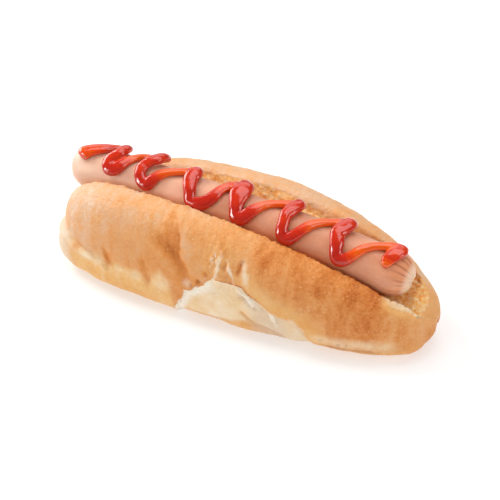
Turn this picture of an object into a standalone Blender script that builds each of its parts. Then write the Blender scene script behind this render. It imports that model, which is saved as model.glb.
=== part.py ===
"""Hot dog: a split bread roll, a sausage lying in its slit and a zigzag bead of ketchup on top.

Units are metres and +Z is up. The roll stands on its flat underside at z = 0, its blunt end points
to -X and its tapered end to +X. The origin is under the middle of the whole hot dog.
"""
import math

import bmesh
import bpy
import numpy as np

# ---- the roll ------------------------------------------------------------------------------------
ROLL_START_X = -0.0778       # blunt end, without its bulging foot
ROLL_END_X = 0.0832          # tapered end
ROLL_MIDDLE_Y = -0.0017      # the front half is a little narrower than the back half
ROLL_TIP_Z = 0.0140          # height of both end points
FRONT_WIDTH = 0.0300         # widest reach of each half from the middle line
BACK_WIDTH = 0.0335
FRONT_HEIGHT = 0.0450        # highest point of each half's crest
BACK_HEIGHT = 0.0436
SIDE_LEVEL = 0.40            # where a half is widest, as a share of its height
CREST_SHARE = 0.50           # how far out its crest lies, as a share of its width
CREST_DROP = 0.0040          # how far a lip rolls down from the crest to the cut edge
LOWER_POWER = 3.2            # squareness of the lower and the upper quarter of a half
UPPER_POWER = 2.3
SOLE_SHARE = 1.02            # over 1, the stretch of the underside that is flat grows
FOOT_BULGE = 0.0058          # how far the foot of the blunt end stands out under its crust
FOOT_TOP = 0.0230

# ---- the sausage ---------------------------------------------------------------------------------
SAUSAGE_START = (-0.0804, -0.0012, 0.0388)
SAUSAGE_END = (0.0728, -0.0027, 0.0293)
SAUSAGE_RADIUS = 0.0092
SAUSAGE_BOW = 0.0030         # how far its middle arches up
LEFT_CAP = 0.0090            # length of each rounded end
RIGHT_CAP = 0.0105
KNOT_RADIUS = 0.0015
KNOT_LENGTH = 0.0007

# ---- the slit ------------------------------------------------------------------------------------
GAP = 0.0003                 # clearance between neighbouring pieces
SLIT_BEND_X = 0.0672         # from here the slit veers to the front
SLIT_END_X = 0.0792          # and here it is closed
SLIT_VEER = 0.0050
FRONT_FLARE = 0.0012         # how far each cut edge stands off the groove
BACK_FLARE = 0.0026
CREASE = 0.04                # width and depth of the closed slit, as a share of the section's
CREASE_DEPTH = 0.02

# ---- the ketchup ---------------------------------------------------------------------------------
BEAD_WIDTH = 0.0050
BEAD_HEIGHT = 0.0034
BEAD_ROUND = 0.0022          # length of the bead's rounded ends
BACK_TURNS = (0.0235, 0.0400, 0.0595, 0.0795, 0.1030, 0.1250, 0.1440)
FRONT_TURNS = (0.0229, 0.0400, 0.0625, 0.0822, 0.1014, 0.1245)
BACK_ANGLE = 46.0            # turns of the bead, in degrees round the sausage from its top
FRONT_ANGLE = -54.0

# ---- how finely each piece is divided ------------------------------------------------------------
ROLL_STATIONS = 52
SOLE_STEPS = 2
LOWER_STEPS = 6
UPPER_STEPS = 7
LIP_STEPS = 3
FACE_STEPS = 1
GROOVE_STEPS = 4
SAUSAGE_STEPS = 20
CAP_STEPS = 6
SAUSAGE_SIDES = 20
BEAD_SIDES = 8
BEAD_STEP = 0.0027


def smooth_step(low, high, value):
    """0 below low and 1 above high, with an S curve between."""
    share = np.clip((value - low) / (high - low), 0.0, 1.0)
    return share * share * (3.0 - 2.0 * share)


def swell(station, peak, left, right):
    """1 at the peak, falling to 0 at both ends along a superellipse arc with two powers a side."""
    share = np.where(station < peak, (peak - station) / (1.0 + peak), (station - peak) / (1.0 - peak))
    share = np.clip(share, 0.0, 1.0)
    fall_left = (1.0 - share ** left[0]) ** (1.0 / left[1])
    fall_right = (1.0 - share ** right[0]) ** (1.0 / right[1])
    return np.where(station < peak, fall_left, fall_right)


# ---- shape of the roll, as arrays over its stations (-1 at the blunt end, 1 at the tapered end) ------
def roll_x(station):
    """Distance along X of a station."""
    return ROLL_START_X + (ROLL_END_X - ROLL_START_X) * (station + 1.0) / 2.0


def front_half(station):
    """Width and crest height of the front half."""
    width = FRONT_WIDTH * swell(station, -0.10, (5.0, 3.4), (2.6, 2.0))
    rise = swell(station, -0.40, (3.9, 2.5), (1.75, 1.45))
    return width, ROLL_TIP_Z + (FRONT_HEIGHT - ROLL_TIP_Z) * rise


def back_half(station):
    """Width and crest height of the back half."""
    width = BACK_WIDTH * swell(station, 0.0, (3.2, 2.2), (2.1, 1.8))
    rise = swell(station, -0.05, (2.7, 2.0), (1.9, 1.5))
    return width, ROLL_TIP_Z + (BACK_HEIGHT - ROLL_TIP_Z) * rise


def underside(station):
    """Height of the underside: flat at 0 along the middle, turning up at both ends."""
    spread = SOLE_SHARE * swell(station, 0.0, (9.0, 2.6), (5.0, 2.0))
    return ROLL_TIP_Z * (1.0 - np.minimum(spread, 1.0))


def even_stations(count):
    """Stations at even steps along the outline seen from above, so that the ends are well divided."""
    fine = -np.cos(np.linspace(0.0, math.pi, 4001))
    steps = np.hypot(np.diff(roll_x(fine)), np.diff(front_half(fine)[0]))
    length = np.concatenate(([0.0], np.cumsum(steps)))
    return np.interp(np.linspace(0.0, length[-1], count), length, fine)


def sausage_axis(x):
    """Y and Z of the sausage's middle line: straight from end to end, arched up by the bow."""
    share = (x - SAUSAGE_START[0]) / (SAUSAGE_END[0] - SAUSAGE_START[0])
    arch = SAUSAGE_BOW * 4.0 * share * (1.0 - share)
    y = SAUSAGE_START[1] + (SAUSAGE_END[1] - SAUSAGE_START[1]) * share
    z = SAUSAGE_START[2] + (SAUSAGE_END[2] - SAUSAGE_START[2]) * share + arch
    return y, z


def slit(station):
    """Middle, half width and openness of the slit, which follows the sausage and closes past it."""
    x = roll_x(station)
    cap_x = SAUSAGE_END[0] - RIGHT_CAP
    openness = np.sqrt(1.0 - np.clip((x - cap_x) / (SLIT_END_X - cap_x), 0.0, 1.0) ** 2)
    middle = sausage_axis(x)[0] - ROLL_MIDDLE_Y
    middle = middle - SLIT_VEER * smooth_step(SLIT_BEND_X, SLIT_END_X, x)
    room = 0.6 * front_half(station)[0]
    return np.clip(middle, -room, room), (SAUSAGE_RADIUS + GAP) * openness, openness


def quarter(steps, power):
    """Outward and upward shares along a superellipse quarter from its side to its top."""
    angle = np.linspace(0.0, math.pi / 2.0, steps + 1)
    return np.cos(angle).clip(0.0) ** (2.0 / power), np.sin(angle).clip(0.0) ** (2.0 / power)


def half_section(station, side):
    """Outline of the front (side -1) or back (side 1) half at every station: out and up distances.

    It runs from the middle of the underside along the flat sole, up one superellipse quarter to the
    widest point, over another to the crest, down the rolled lip to the cut edge, down the cut face
    and round the groove to its lowest line.
    """
    station = station[:, None]
    width, crest = front_half(station) if side < 0 else back_half(station)
    floor = underside(station)
    middle, half_gap, openness = slit(station)
    flare = openness * (FRONT_FLARE if side < 0 else BACK_FLARE)
    line = side * middle
    lip = np.minimum(line + np.maximum(half_gap + flare, CREASE * width), 0.95 * width)
    foot = np.minimum(line + np.maximum(half_gap, CREASE * width), lip)
    crest_out = np.maximum(CREST_SHARE * width, lip)
    side_z = floor + SIDE_LEVEL * (crest - floor)
    lip_z = crest - openness * np.minimum(CREST_DROP, 0.25 * (crest - floor))
    shallow = CREASE_DEPTH * (crest - floor)
    axis_z = sausage_axis(roll_x(station))[1]
    foot_z = np.minimum(axis_z, lip_z - shallow)
    groove_z = np.minimum(axis_z - SAUSAGE_RADIUS - GAP, foot_z - shallow)

    sole = np.linspace(0.0, 1.0, SOLE_STEPS + 1)[None, :-1]
    out_low, up_low = (share[None, :0:-1] for share in quarter(LOWER_STEPS, LOWER_POWER))
    out_high, up_high = (share[None, :-1] for share in quarter(UPPER_STEPS, UPPER_POWER))
    roll = np.linspace(0.0, 1.0, LIP_STEPS + 1)[None, :-1]
    face = np.linspace(0.0, 1.0, FACE_STEPS + 1)[None, :-1]
    turn = np.linspace(0.0, math.pi / 2.0, GROOVE_STEPS + 1)[None, :]
    out = (
        crest_out * sole,
        crest_out + (width - crest_out) * out_low,
        crest_out + (width - crest_out) * out_high,
        crest_out + (lip - crest_out) * roll,
        lip + (foot - lip) * face,
        line + (foot - line) * np.cos(turn),
    )
    up = (
        floor + 0.0 * sole,
        side_z - (side_z - floor) * up_low,
        side_z + (crest - side_z) * up_high,
        crest - (crest - lip_z) * roll ** 2,
        lip_z + (foot_z - lip_z) * face,
        foot_z - (foot_z - groove_z) * np.sin(turn),
    )
    return np.concatenate(out, axis=1), np.concatenate(up, axis=1)


def roll_rings():
    """Rings of points round the roll, from its blunt end to its tapered end."""
    station = even_stations(ROLL_STATIONS)[1:-1]
    front_out, front_up = half_section(station, -1)
    back_out, back_up = half_section(station, 1)
    # front side from the sole to the groove, then back side from the groove to the sole
    y = ROLL_MIDDLE_Y + np.concatenate((-front_out, back_out[:, -2:0:-1]), axis=1)
    z = np.concatenate((front_up, back_up[:, -2:0:-1]), axis=1)
    foot = (1.0 - smooth_step(-1.0, -0.86, station))[:, None]
    x = roll_x(station)[:, None] - FOOT_BULGE * foot * (1.0 - smooth_step(0.3 * FOOT_TOP, FOOT_TOP, z))
    return np.stack((x, y, z), axis=2)


# ---- shape of the sausage and of the ketchup ------------------------------------------------------
def sausage_frame(distance):
    """Point on the sausage's middle line, and its back and top directions, at a distance along X."""
    x = SAUSAGE_START[0] + distance
    y, z = sausage_axis(x)
    nudge = 0.0005
    y_next, z_next = sausage_axis(x + nudge)
    along = np.stack((np.full_like(x, nudge), y_next - y, z_next - z), axis=-1)
    along = along / np.linalg.norm(along, axis=-1, keepdims=True)
    back = np.cross((0.0, 0.0, 1.0), along)
    back = back / np.linalg.norm(back, axis=-1, keepdims=True)
    return np.stack((x, y, z), axis=-1), back, np.cross(along, back)


def sausage_profile():
    """Distances along the sausage and its radius there: two rounded ends, and a knot at the right."""
    length = SAUSAGE_END[0] - SAUSAGE_START[0]
    body_end = length - KNOT_LENGTH
    turn = np.linspace(0.0, math.pi / 2.0, CAP_STEPS + 1)
    left = LEFT_CAP * (1.0 - np.cos(turn))[1:]
    middle = np.linspace(LEFT_CAP, body_end - RIGHT_CAP, SAUSAGE_STEPS + 1)[1:-1]
    right = body_end - RIGHT_CAP * (1.0 - np.cos(turn))[:0:-1]
    radius_left = SAUSAGE_RADIUS * np.sin(turn)[1:]
    radius_right = SAUSAGE_RADIUS * np.sin(turn)[:0:-1]
    knot = body_end + np.array((-0.0002, 0.6, 1.0)) * (1.0, KNOT_LENGTH, KNOT_LENGTH)
    knot_radius = KNOT_RADIUS * np.array((1.0, 1.0, 0.6))
    distance = np.concatenate((left, middle, right, knot))
    radius = np.concatenate((radius_left, np.full(middle.size, SAUSAGE_RADIUS), radius_right, knot_radius))
    return distance, radius


def sausage_rings():
    """Rings of points round the sausage, from its left end to its knot."""
    distance, radius = sausage_profile()
    centre, back, top = sausage_frame(distance)
    angle = np.linspace(0.0, 2.0 * math.pi, SAUSAGE_SIDES, endpoint=False)
    ring = np.cos(angle)[None, :, None] * back[:, None, :] + np.sin(angle)[None, :, None] * top[:, None, :]
    return centre[:, None, :] + radius[:, None, None] * ring


def bead_turns():
    """Turning points of the ketchup: distance along the sausage, and degrees round it from its top.

    Each stroke comes down from a back turn, bends round a front turn and slants up to the next one.
    """
    points = [(0.0066, -36.0), (0.0100, -12.0), (0.0158, 18.0)]
    for number, back in enumerate(BACK_TURNS):
        if number:
            front = FRONT_TURNS[number - 1]
            points += [(front + 0.0036, -40.0), (front + 0.0065, -12.0)]
            points += [(back - 0.0080, 14.0), (back - 0.0040, 36.0)]
        points.append((back, BACK_ANGLE))
        if number < len(FRONT_TURNS):
            front = FRONT_TURNS[number]
            points += [(back - 0.0008, 26.0), ((back + front) / 2.0 - 0.0025, -5.0)]
            points += [(front - 0.0032, -34.0), (front, FRONT_ANGLE)]
    last = BACK_TURNS[-1]
    points += [(last - 0.0005, 22.0), (last - 0.0012, -8.0), (last + 0.0002, -46.0)]
    return np.array(points)


def smooth_route(points, step):
    """Points at even steps along the Catmull-Rom curve through the given points."""
    padded = np.concatenate((2.0 * points[:1] - points[1:2], points, 2.0 * points[-1:] - points[-2:-1]))
    share = np.linspace(0.0, 1.0, 24, endpoint=False)[None, :, None]
    before, start, end, after = (padded[i:len(padded) - 3 + i, None, :] for i in range(4))
    curve = start + 0.5 * share * (end - before + share * (
        2.0 * before - 5.0 * start + 4.0 * end - after + share * (3.0 * (start - end) + after - before)))
    curve = np.concatenate((curve.reshape(-1, points.shape[1]), points[-1:]))
    arc = curve * (1.0, math.radians(SAUSAGE_RADIUS))
    length = np.concatenate(([0.0], np.cumsum(np.linalg.norm(np.diff(arc, axis=0), axis=1))))
    count = int(round(length[-1] / step)) + 1
    even = np.linspace(0.0, length[-1], count)
    return np.stack([np.interp(even, length, column) for column in curve.T], axis=1), even


def ketchup_rings():
    """Rings of points round the bead: an egg-shaped section standing on the sausage's skin."""
    route, length = smooth_route(bead_turns(), BEAD_STEP)
    centre, back, top = sausage_frame(route[:, 0])
    angle = np.radians(route[:, 1:])
    outward = np.sin(angle) * back + np.cos(angle) * top
    path = centre + (SAUSAGE_RADIUS + GAP) * outward
    along = np.gradient(path, axis=0)
    along -= np.sum(along * outward, axis=1, keepdims=True) * outward
    along /= np.linalg.norm(along, axis=1, keepdims=True)
    across = np.cross(outward, along)
    from_end = np.minimum(length, length[-1] - length) / BEAD_ROUND
    taper = np.sqrt(1.0 - (1.0 - np.clip(from_end, 0.0, 1.0)) ** 2)[1:-1, None, None]
    turn = np.linspace(0.0, 2.0 * math.pi, BEAD_SIDES, endpoint=False)[None, :, None]
    wide = 0.5 * BEAD_WIDTH * taper * np.cos(turn)
    high = BEAD_HEIGHT * (0.15 * (1.0 - taper) + taper * 0.5 * (1.0 + np.sin(turn)))
    return path[1:-1, None, :] + wide * across[1:-1, None, :] + high * outward[1:-1, None, :]


# ---- making the objects ---------------------------------------------------------------------------
def skin(name, rings, material):
    """Joins neighbouring rings with faces, closes both ends and makes the object."""
    mesh = bpy.data.meshes.new(name)
    build = bmesh.new()
    rows = [[build.verts.new(point) for point in ring] for ring in rings]
    sides = len(rows[0])
    for row, following in zip(rows, rows[1:]):
        for i in range(sides):
            j = (i + 1) % sides
            build.faces.new((row[i], row[j], following[j], following[i]))
    for end in (rows[0], rows[-1]):
        middle = build.verts.new(sum((vertex.co for vertex in end), end[0].co * 0.0) / sides)
        for i in range(sides):
            build.faces.new((end[i], end[(i + 1) % sides], middle))
    bmesh.ops.recalc_face_normals(build, faces=build.faces)
    bmesh.ops.triangulate(build, faces=build.faces)
    build.to_mesh(mesh)
    build.free()
    mesh.shade_smooth()
    mesh.materials.append(material)
    piece = bpy.data.objects.new(name, mesh)
    bpy.context.scene.collection.objects.link(piece)
    return piece


def food_material(name, colour, roughness):
    """A Principled surface in one colour."""
    material = bpy.data.materials.new(name)
    material.use_nodes = True
    shader = material.node_tree.nodes["Principled BSDF"]
    shader.inputs["Base Color"].default_value = (*colour, 1.0)
    shader.inputs["Roughness"].default_value = roughness
    shader.inputs["Metallic"].default_value = 0.0
    return material


def main():
    """Clears the scene and makes the three pieces."""
    for item in list(bpy.data.objects):
        bpy.data.objects.remove(item)
    skin("bun", roll_rings(), food_material("crust", (0.76, 0.42, 0.17), 0.6))
    skin("sausage", sausage_rings(), food_material("sausage_skin", (0.66, 0.32, 0.20), 0.35))
    skin("ketchup", ketchup_rings(), food_material("ketchup_red", (0.60, 0.05, 0.015), 0.15))


main()
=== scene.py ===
# %% [markdown]
# # A hot dog: a split bread roll, a sausage and a zigzag of ketchup
#
# This notebook dresses three plain solids as food. A bread roll is a skin of browned crust over soft
# pale crumb, and nearly all of its character is in that skin: where the oven reached it, where it was
# pulled off its neighbour, and how it wrinkled when it was bent. So the roll is worked out as one fine
# surface with numpy, and the same fields that lift and dent it also colour it.

# %% Load the frame and the tools
import math

import bpy
import numpy as np
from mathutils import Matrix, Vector


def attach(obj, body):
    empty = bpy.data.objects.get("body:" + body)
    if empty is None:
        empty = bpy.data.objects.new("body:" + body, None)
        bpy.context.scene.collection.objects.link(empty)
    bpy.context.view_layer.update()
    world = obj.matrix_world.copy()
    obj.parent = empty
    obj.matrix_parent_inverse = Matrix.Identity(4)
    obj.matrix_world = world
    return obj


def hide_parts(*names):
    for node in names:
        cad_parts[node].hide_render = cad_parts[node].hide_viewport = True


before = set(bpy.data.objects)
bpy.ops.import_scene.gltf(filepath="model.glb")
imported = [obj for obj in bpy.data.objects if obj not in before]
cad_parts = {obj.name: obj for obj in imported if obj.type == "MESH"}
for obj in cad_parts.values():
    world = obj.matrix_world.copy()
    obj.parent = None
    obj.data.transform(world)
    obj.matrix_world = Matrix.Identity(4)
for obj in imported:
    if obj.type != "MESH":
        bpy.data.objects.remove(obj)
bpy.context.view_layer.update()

MM = 0.001

# %% [markdown]
# ## Camera
#
# The view is from above the front, a little to the right: 26 degrees round and 38 degrees up. A long
# lens from half a metre away keeps the near and the far end of the roll almost equally large, which is
# how food is mostly shown.

# %% Camera
VIEW_AROUND = math.radians(26.0)
VIEW_ABOVE = math.radians(38.0)
VIEW_DISTANCE = 0.46
VIEW_TARGET = Vector((0.0022, -0.0017, 0.0200))
LENS_MM = 80.97

towards_camera = Vector((
    math.sin(VIEW_AROUND) * math.cos(VIEW_ABOVE),
    -math.cos(VIEW_AROUND) * math.cos(VIEW_ABOVE),
    math.sin(VIEW_ABOVE),
))
camera_data = bpy.data.cameras.new("camera")
camera_data.lens = LENS_MM
camera_data.sensor_width = 36.0
camera_data.clip_start = 0.01
camera = bpy.data.objects.new("camera", camera_data)
camera.location = VIEW_TARGET + towards_camera * VIEW_DISTANCE
camera.rotation_euler = (-towards_camera).to_track_quat("-Z", "Y").to_euler()
bpy.context.scene.collection.objects.link(camera)
bpy.context.scene.camera = camera
print("camera at", [round(c, 3) for c in camera.location])

# %% [markdown]
# ## Studio
#
# Bread wants broad, soft light that comes mostly from one side, so that its wrinkles show, with enough
# from all round that no shadow is deep. Sauce looks wet only if bright, large lamps are mirrored in it.
# The two wishes pull apart, so the work is shared out: four lamps light the food, and three cards are
# seen only in gloss. The window and front lamps are kept out of the gloss, or the crust would look oiled.

# %% Lights, surround and floor
LAMPS = (
    # name, place, size and power, then whether it lights matt surfaces and whether gloss shows it
    ("window_lamp", (-0.62, 0.05, 0.58), (0.32, 0.32), 4.3, True, False),
    ("ceiling_lamp", (0.05, 0.20, 0.85), (0.90, 0.60), 4.4, True, True),
    ("front_lamp", (-0.30, -0.80, 0.45), (0.80, 0.45), 2.9, True, False),
    ("right_lamp", (0.75, -0.10, 0.45), (0.40, 0.40), 2.1, True, True),
    ("sheen_card", (-0.36, 0.70, 0.52), (0.95, 0.55), 2.0, False, True),
    ("gleam_card", (-0.80, 0.10, 0.32), (0.60, 0.46), 6.0, False, True),
    ("side_card", (-0.62, -0.55, 0.22), (0.26, 0.34), 4.2, False, True))
WHITE = (1.0, 1.0, 1.0, 1.0)
SURROUND_STRENGTH = 0.14
FLOOR_HALF = 3.0
FLOOR_GREY = 0.62
FLOOR_GLOW = 0.45


def soft_lamp(name, place, size, power, lights, gleams):
    """A rectangular area lamp at place, turned to the middle of the roll."""
    lamp = bpy.data.lights.new(name, "AREA")
    lamp.shape = "RECTANGLE"
    lamp.size, lamp.size_y = size
    lamp.energy = power
    item = bpy.data.objects.new(name, lamp)
    item.location = place
    item.rotation_euler = (VIEW_TARGET - Vector(place)).to_track_quat("-Z", "Y").to_euler()
    item.visible_camera = False
    item.visible_diffuse = lights
    item.visible_glossy = gleams
    bpy.context.scene.collection.objects.link(item)


def pale_floor():
    """One wide square at height 0, in a matt grey that glows a little, so that it shows nearly white."""
    mesh = bpy.data.meshes.new("floor")
    corners = [(-FLOOR_HALF, -FLOOR_HALF, 0.0), (FLOOR_HALF, -FLOOR_HALF, 0.0),
               (FLOOR_HALF, FLOOR_HALF, 0.0), (-FLOOR_HALF, FLOOR_HALF, 0.0)]
    mesh.from_pydata(corners, [], [(0, 1, 2, 3)])
    material = bpy.data.materials.new("floor_paint")
    material.use_nodes = True
    shader = material.node_tree.nodes["Principled BSDF"]
    shader.inputs["Base Color"].default_value = (FLOOR_GREY, FLOOR_GREY, FLOOR_GREY, 1.0)
    shader.inputs["Roughness"].default_value = 0.9
    shader.inputs["Specular IOR Level"].default_value = 0.0
    shader.inputs["Emission Color"].default_value = WHITE
    shader.inputs["Emission Strength"].default_value = FLOOR_GLOW
    mesh.materials.append(material)
    item = bpy.data.objects.new("floor", mesh)
    bpy.context.scene.collection.objects.link(item)
    return item


for lamp_facts in LAMPS:
    soft_lamp(*lamp_facts)

world = bpy.data.worlds.new("surround")
world.use_nodes = True
world.node_tree.nodes["Background"].inputs["Color"].default_value = WHITE
world.node_tree.nodes["Background"].inputs["Strength"].default_value = SURROUND_STRENGTH
bpy.context.scene.world = world
bpy.context.scene.view_settings.view_transform = "Standard"
bpy.context.scene.view_settings.look = "None"

floor = pale_floor()
print(len(LAMPS), "lamps and cards; the floor is", 2 * FLOOR_HALF, "m wide")

# %% [markdown]
# ## Tools for uneven food
#
# Nothing baked is even. `lumps` is smooth random relief: it gives each corner of a cubic lattice a
# random slope and blends the slopes across the cell (gradient noise). Adding finer and fainter copies
# gives relief at several scales at once. It is seeded by whole numbers, so it is the same every time.
# The other helpers are the soft edges that everything below is built from: a step, a band and a bell.

# %% Random relief
LATTICE_SLOPES = np.array([
    (1, 1, 0), (-1, 1, 0), (1, -1, 0), (-1, -1, 0), (1, 0, 1), (-1, 0, 1),
    (1, 0, -1), (-1, 0, -1), (0, 1, 1), (0, -1, 1), (0, 1, -1), (0, -1, -1)], float)
AXIS_PRIMES = np.array((73856093, 19349663, 83492791))
SEED_PRIME = 2654435761
MIX_PRIME = 2246822519


def one_layer(points, size, seed):
    """Gradient noise, about -1 to 1: at each lattice corner a random slope, faded over the cell."""
    place = points / size + 37.0 * seed
    corner = np.floor(place).astype(np.int64)
    inside = place - corner
    fade = inside ** 3 * (inside * (inside * 6.0 - 15.0) + 10.0)
    total = np.zeros(points.shape[:-1])
    for step in np.ndindex(2, 2, 2):
        key = (corner + step) * AXIS_PRIMES
        key = key[..., 0] ^ key[..., 1] ^ key[..., 2] ^ (seed * SEED_PRIME)
        key = ((key ^ (key >> 15)) * MIX_PRIME) & 0x7FFFFFFF
        slope = LATTICE_SLOPES[(key >> 7) % len(LATTICE_SLOPES)]
        weight = np.prod(np.where(step, fade, 1.0 - fade), axis=-1)
        total += weight * np.sum(slope * (inside - step), axis=-1)
    return total


def lumps(points, size, seed, layers=3, fall=0.5):
    """Several layers of gradient noise, each half the size and fall times the strength of the last."""
    total = np.zeros(points.shape[:-1])
    for layer in range(layers):
        total += fall ** layer * one_layer(points, size / 2.0 ** layer, seed + layer)
    return total


def smooth_step(zero_at, one_at, value):
    """0 at zero_at and 1 at one_at, with an S curve between and level beyond; it may run either way."""
    share = np.clip((value - zero_at) / (one_at - zero_at), 0.0, 1.0)
    return share * share * (3.0 - 2.0 * share)


def band(value, rise, full, fade, gone):
    """1 between full and fade, and 0 before rise and after gone."""
    return smooth_step(rise, full, value) * smooth_step(gone, fade, value)


def hump(distance, width):
    """1 at distance 0, falling smoothly to near 0 at two widths: a bell curve."""
    return np.exp(-(distance / width) ** 2)


def strongest(*fields):
    """The largest of the fields at every point."""
    return np.maximum.reduce(np.broadcast_arrays(*fields))


probe = lumps(np.random.default_rng(1).uniform(-0.1, 0.1, (4000, 3)), 0.01, 5)
print("relief runs from %.2f to %.2f" % (probe.min(), probe.max()))

# %% [markdown]
# ## The roll's shape
#
# The roll is carried along its length as one closed section: a flat sole, two bulging sides, two
# crests that roll over into the slit, two cut faces and the groove where the sausage lies. Every
# section is made of superellipse quarters, which are ellipses that can be made squarer, and its widths
# and heights swell and shrink along the roll by the same kind of curve.
#
# Past the sausage the slit closes. It gets shallow there, the front lip leans in over it, and at the
# very end the two lips meet at one height and leave only a faint crease.

# %% Sizes of the roll, sausage and slit
ROLL_START_X = -0.0778
ROLL_END_X = 0.0832
ROLL_MIDDLE_Y = -0.0017
ROLL_TIP_Z = 0.0140
FRONT_WIDTH = 0.0300
BACK_WIDTH = 0.0335
FRONT_HEIGHT = 0.0450
BACK_HEIGHT = 0.0436
SIDE_LEVEL = 0.40
CREST_SHARE = 0.50
CREST_DROP = 0.0040
CREST_DROP_LIMIT = 0.25
CREST_DROP_FROM_X = -0.0775
CREST_DROP_FULL_X = -0.0700
LOWER_POWER = 3.2
UPPER_POWER = 2.3
SOLE_SHARE = 1.02
SAUSAGE_START = (-0.0804, -0.0012, 0.0388)
SAUSAGE_END = (0.0728, -0.0027, 0.0293)
SAUSAGE_RADIUS = 0.0092
SAUSAGE_BOW = 0.0030
LEFT_CAP = 0.0090
RIGHT_CAP = 0.0105
GAP = 0.0003
SLIT_BEND_X = 0.0672
SLIT_END_X = 0.0792
SLIT_VEER = 0.0050
SLIT_ROOM = 0.6
FRONT_FLARE = 0.0012
BACK_FLARE = 0.0026
LIP_LIMIT = 0.95
LIP_LEAN = 0.30
LIP_LEAN_X = 0.0745
LIP_LEAN_REACH = 0.0042
CREASE = 0.04
CREASE_SHUT = 0.06
CREASE_DEPTH = 0.02
CREASE_DEPTH_SHUT = 0.03
POCKET_START_X = 0.0690
POCKET_END_X = 0.0745
POCKET_RISE = 0.75


def swell(station, peak, left, right):
    """1 at the peak, falling to 0 at both ends along a superellipse arc with two powers a side."""
    share = np.where(station < peak, (peak - station) / (1.0 + peak), (station - peak) / (1.0 - peak))
    share = np.clip(share, 0.0, 1.0)
    fall_left = (1.0 - share ** left[0]) ** (1.0 / left[1])
    fall_right = (1.0 - share ** right[0]) ** (1.0 / right[1])
    return np.where(station < peak, fall_left, fall_right)


def roll_x(station):
    """Distance along X of a station, which runs from -1 to 1."""
    return ROLL_START_X + (ROLL_END_X - ROLL_START_X) * (station + 1.0) / 2.0


def front_half(station):
    """Width and crest height of the front half."""
    width = FRONT_WIDTH * swell(station, -0.10, (5.0, 3.4), (2.6, 2.0))
    rise = swell(station, -0.40, (3.9, 2.5), (1.75, 1.45))
    return width, ROLL_TIP_Z + (FRONT_HEIGHT - ROLL_TIP_Z) * rise


def back_half(station):
    """Width and crest height of the back half."""
    width = BACK_WIDTH * swell(station, 0.0, (3.2, 2.2), (2.1, 1.8))
    rise = swell(station, -0.05, (2.7, 2.0), (1.9, 1.5))
    return width, ROLL_TIP_Z + (BACK_HEIGHT - ROLL_TIP_Z) * rise


def underside(station):
    """Height of the sole: flat at 0 along the middle, turning up at both ends."""
    spread = SOLE_SHARE * swell(station, 0.0, (9.0, 2.6), (5.0, 2.0))
    return ROLL_TIP_Z * (1.0 - np.minimum(spread, 1.0))


def sausage_axis(x):
    """Y and Z of the sausage's middle line: straight from end to end, arched up by the bow."""
    share = (x - SAUSAGE_START[0]) / (SAUSAGE_END[0] - SAUSAGE_START[0])
    arch = SAUSAGE_BOW * 4.0 * share * (1.0 - share)
    y = SAUSAGE_START[1] + (SAUSAGE_END[1] - SAUSAGE_START[1]) * share
    z = SAUSAGE_START[2] + (SAUSAGE_END[2] - SAUSAGE_START[2]) * share + arch
    return y, z


def slit(station):
    """Middle, half width and openness of the slit, which follows the sausage and closes past it."""
    x = roll_x(station)
    cap_x = SAUSAGE_END[0] - RIGHT_CAP
    openness = np.sqrt(1.0 - np.clip((x - cap_x) / (SLIT_END_X - cap_x), 0.0, 1.0) ** 2)
    middle = sausage_axis(x)[0] - ROLL_MIDDLE_Y
    middle = middle - SLIT_VEER * smooth_step(SLIT_BEND_X, SLIT_END_X, x)
    room = SLIT_ROOM * front_half(station)[0]
    return np.clip(middle, -room, room), (SAUSAGE_RADIUS + GAP) * openness, openness


print("roll is %.0f mm long" % ((ROLL_END_X - ROLL_START_X) / MM))

# %% [markdown]
# ## From sections to a grid
#
# One half of a section is six stretches end to end. `around` counts along them, so 0 to 1 is the sole,
# 1 to 3 the outer side, 3 to 4 the rolled lip, 4 to 5 the cut face and 5 to 6 the groove. The same
# number later tells the colours what part of the roll they are on. The front is divided more finely
# than the back, because it carries the torn patch and the wrinkles.

# %% The grid of the roll
FRONT_STEPS = (8, 52, 56, 12, 8, 8)
BACK_STEPS = (6, 18, 28, 12, 16, 6)
ROLL_STATIONS = 420
FOOT_BULGE = 0.0038
FOOT_TOP = 0.0230
FOOT_STATION = -0.86
FOOT_SIDE_Y = (-0.0020, -0.0160)


def even_angles(steps, power, wide, high):
    """Angles from 0 to 90 degrees that cut a superellipse quarter of that size into equal lengths."""
    angle = np.linspace(0.0, math.pi / 2.0, 3001)
    across = wide * np.sin(angle) ** (2.0 / power)
    up = high * np.cos(angle) ** (2.0 / power)
    length = np.concatenate(([0.0], np.cumsum(np.hypot(np.diff(across), np.diff(up)))))
    return np.interp(length[-1] * np.arange(steps) / steps, length, angle)[None, :]


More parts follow.
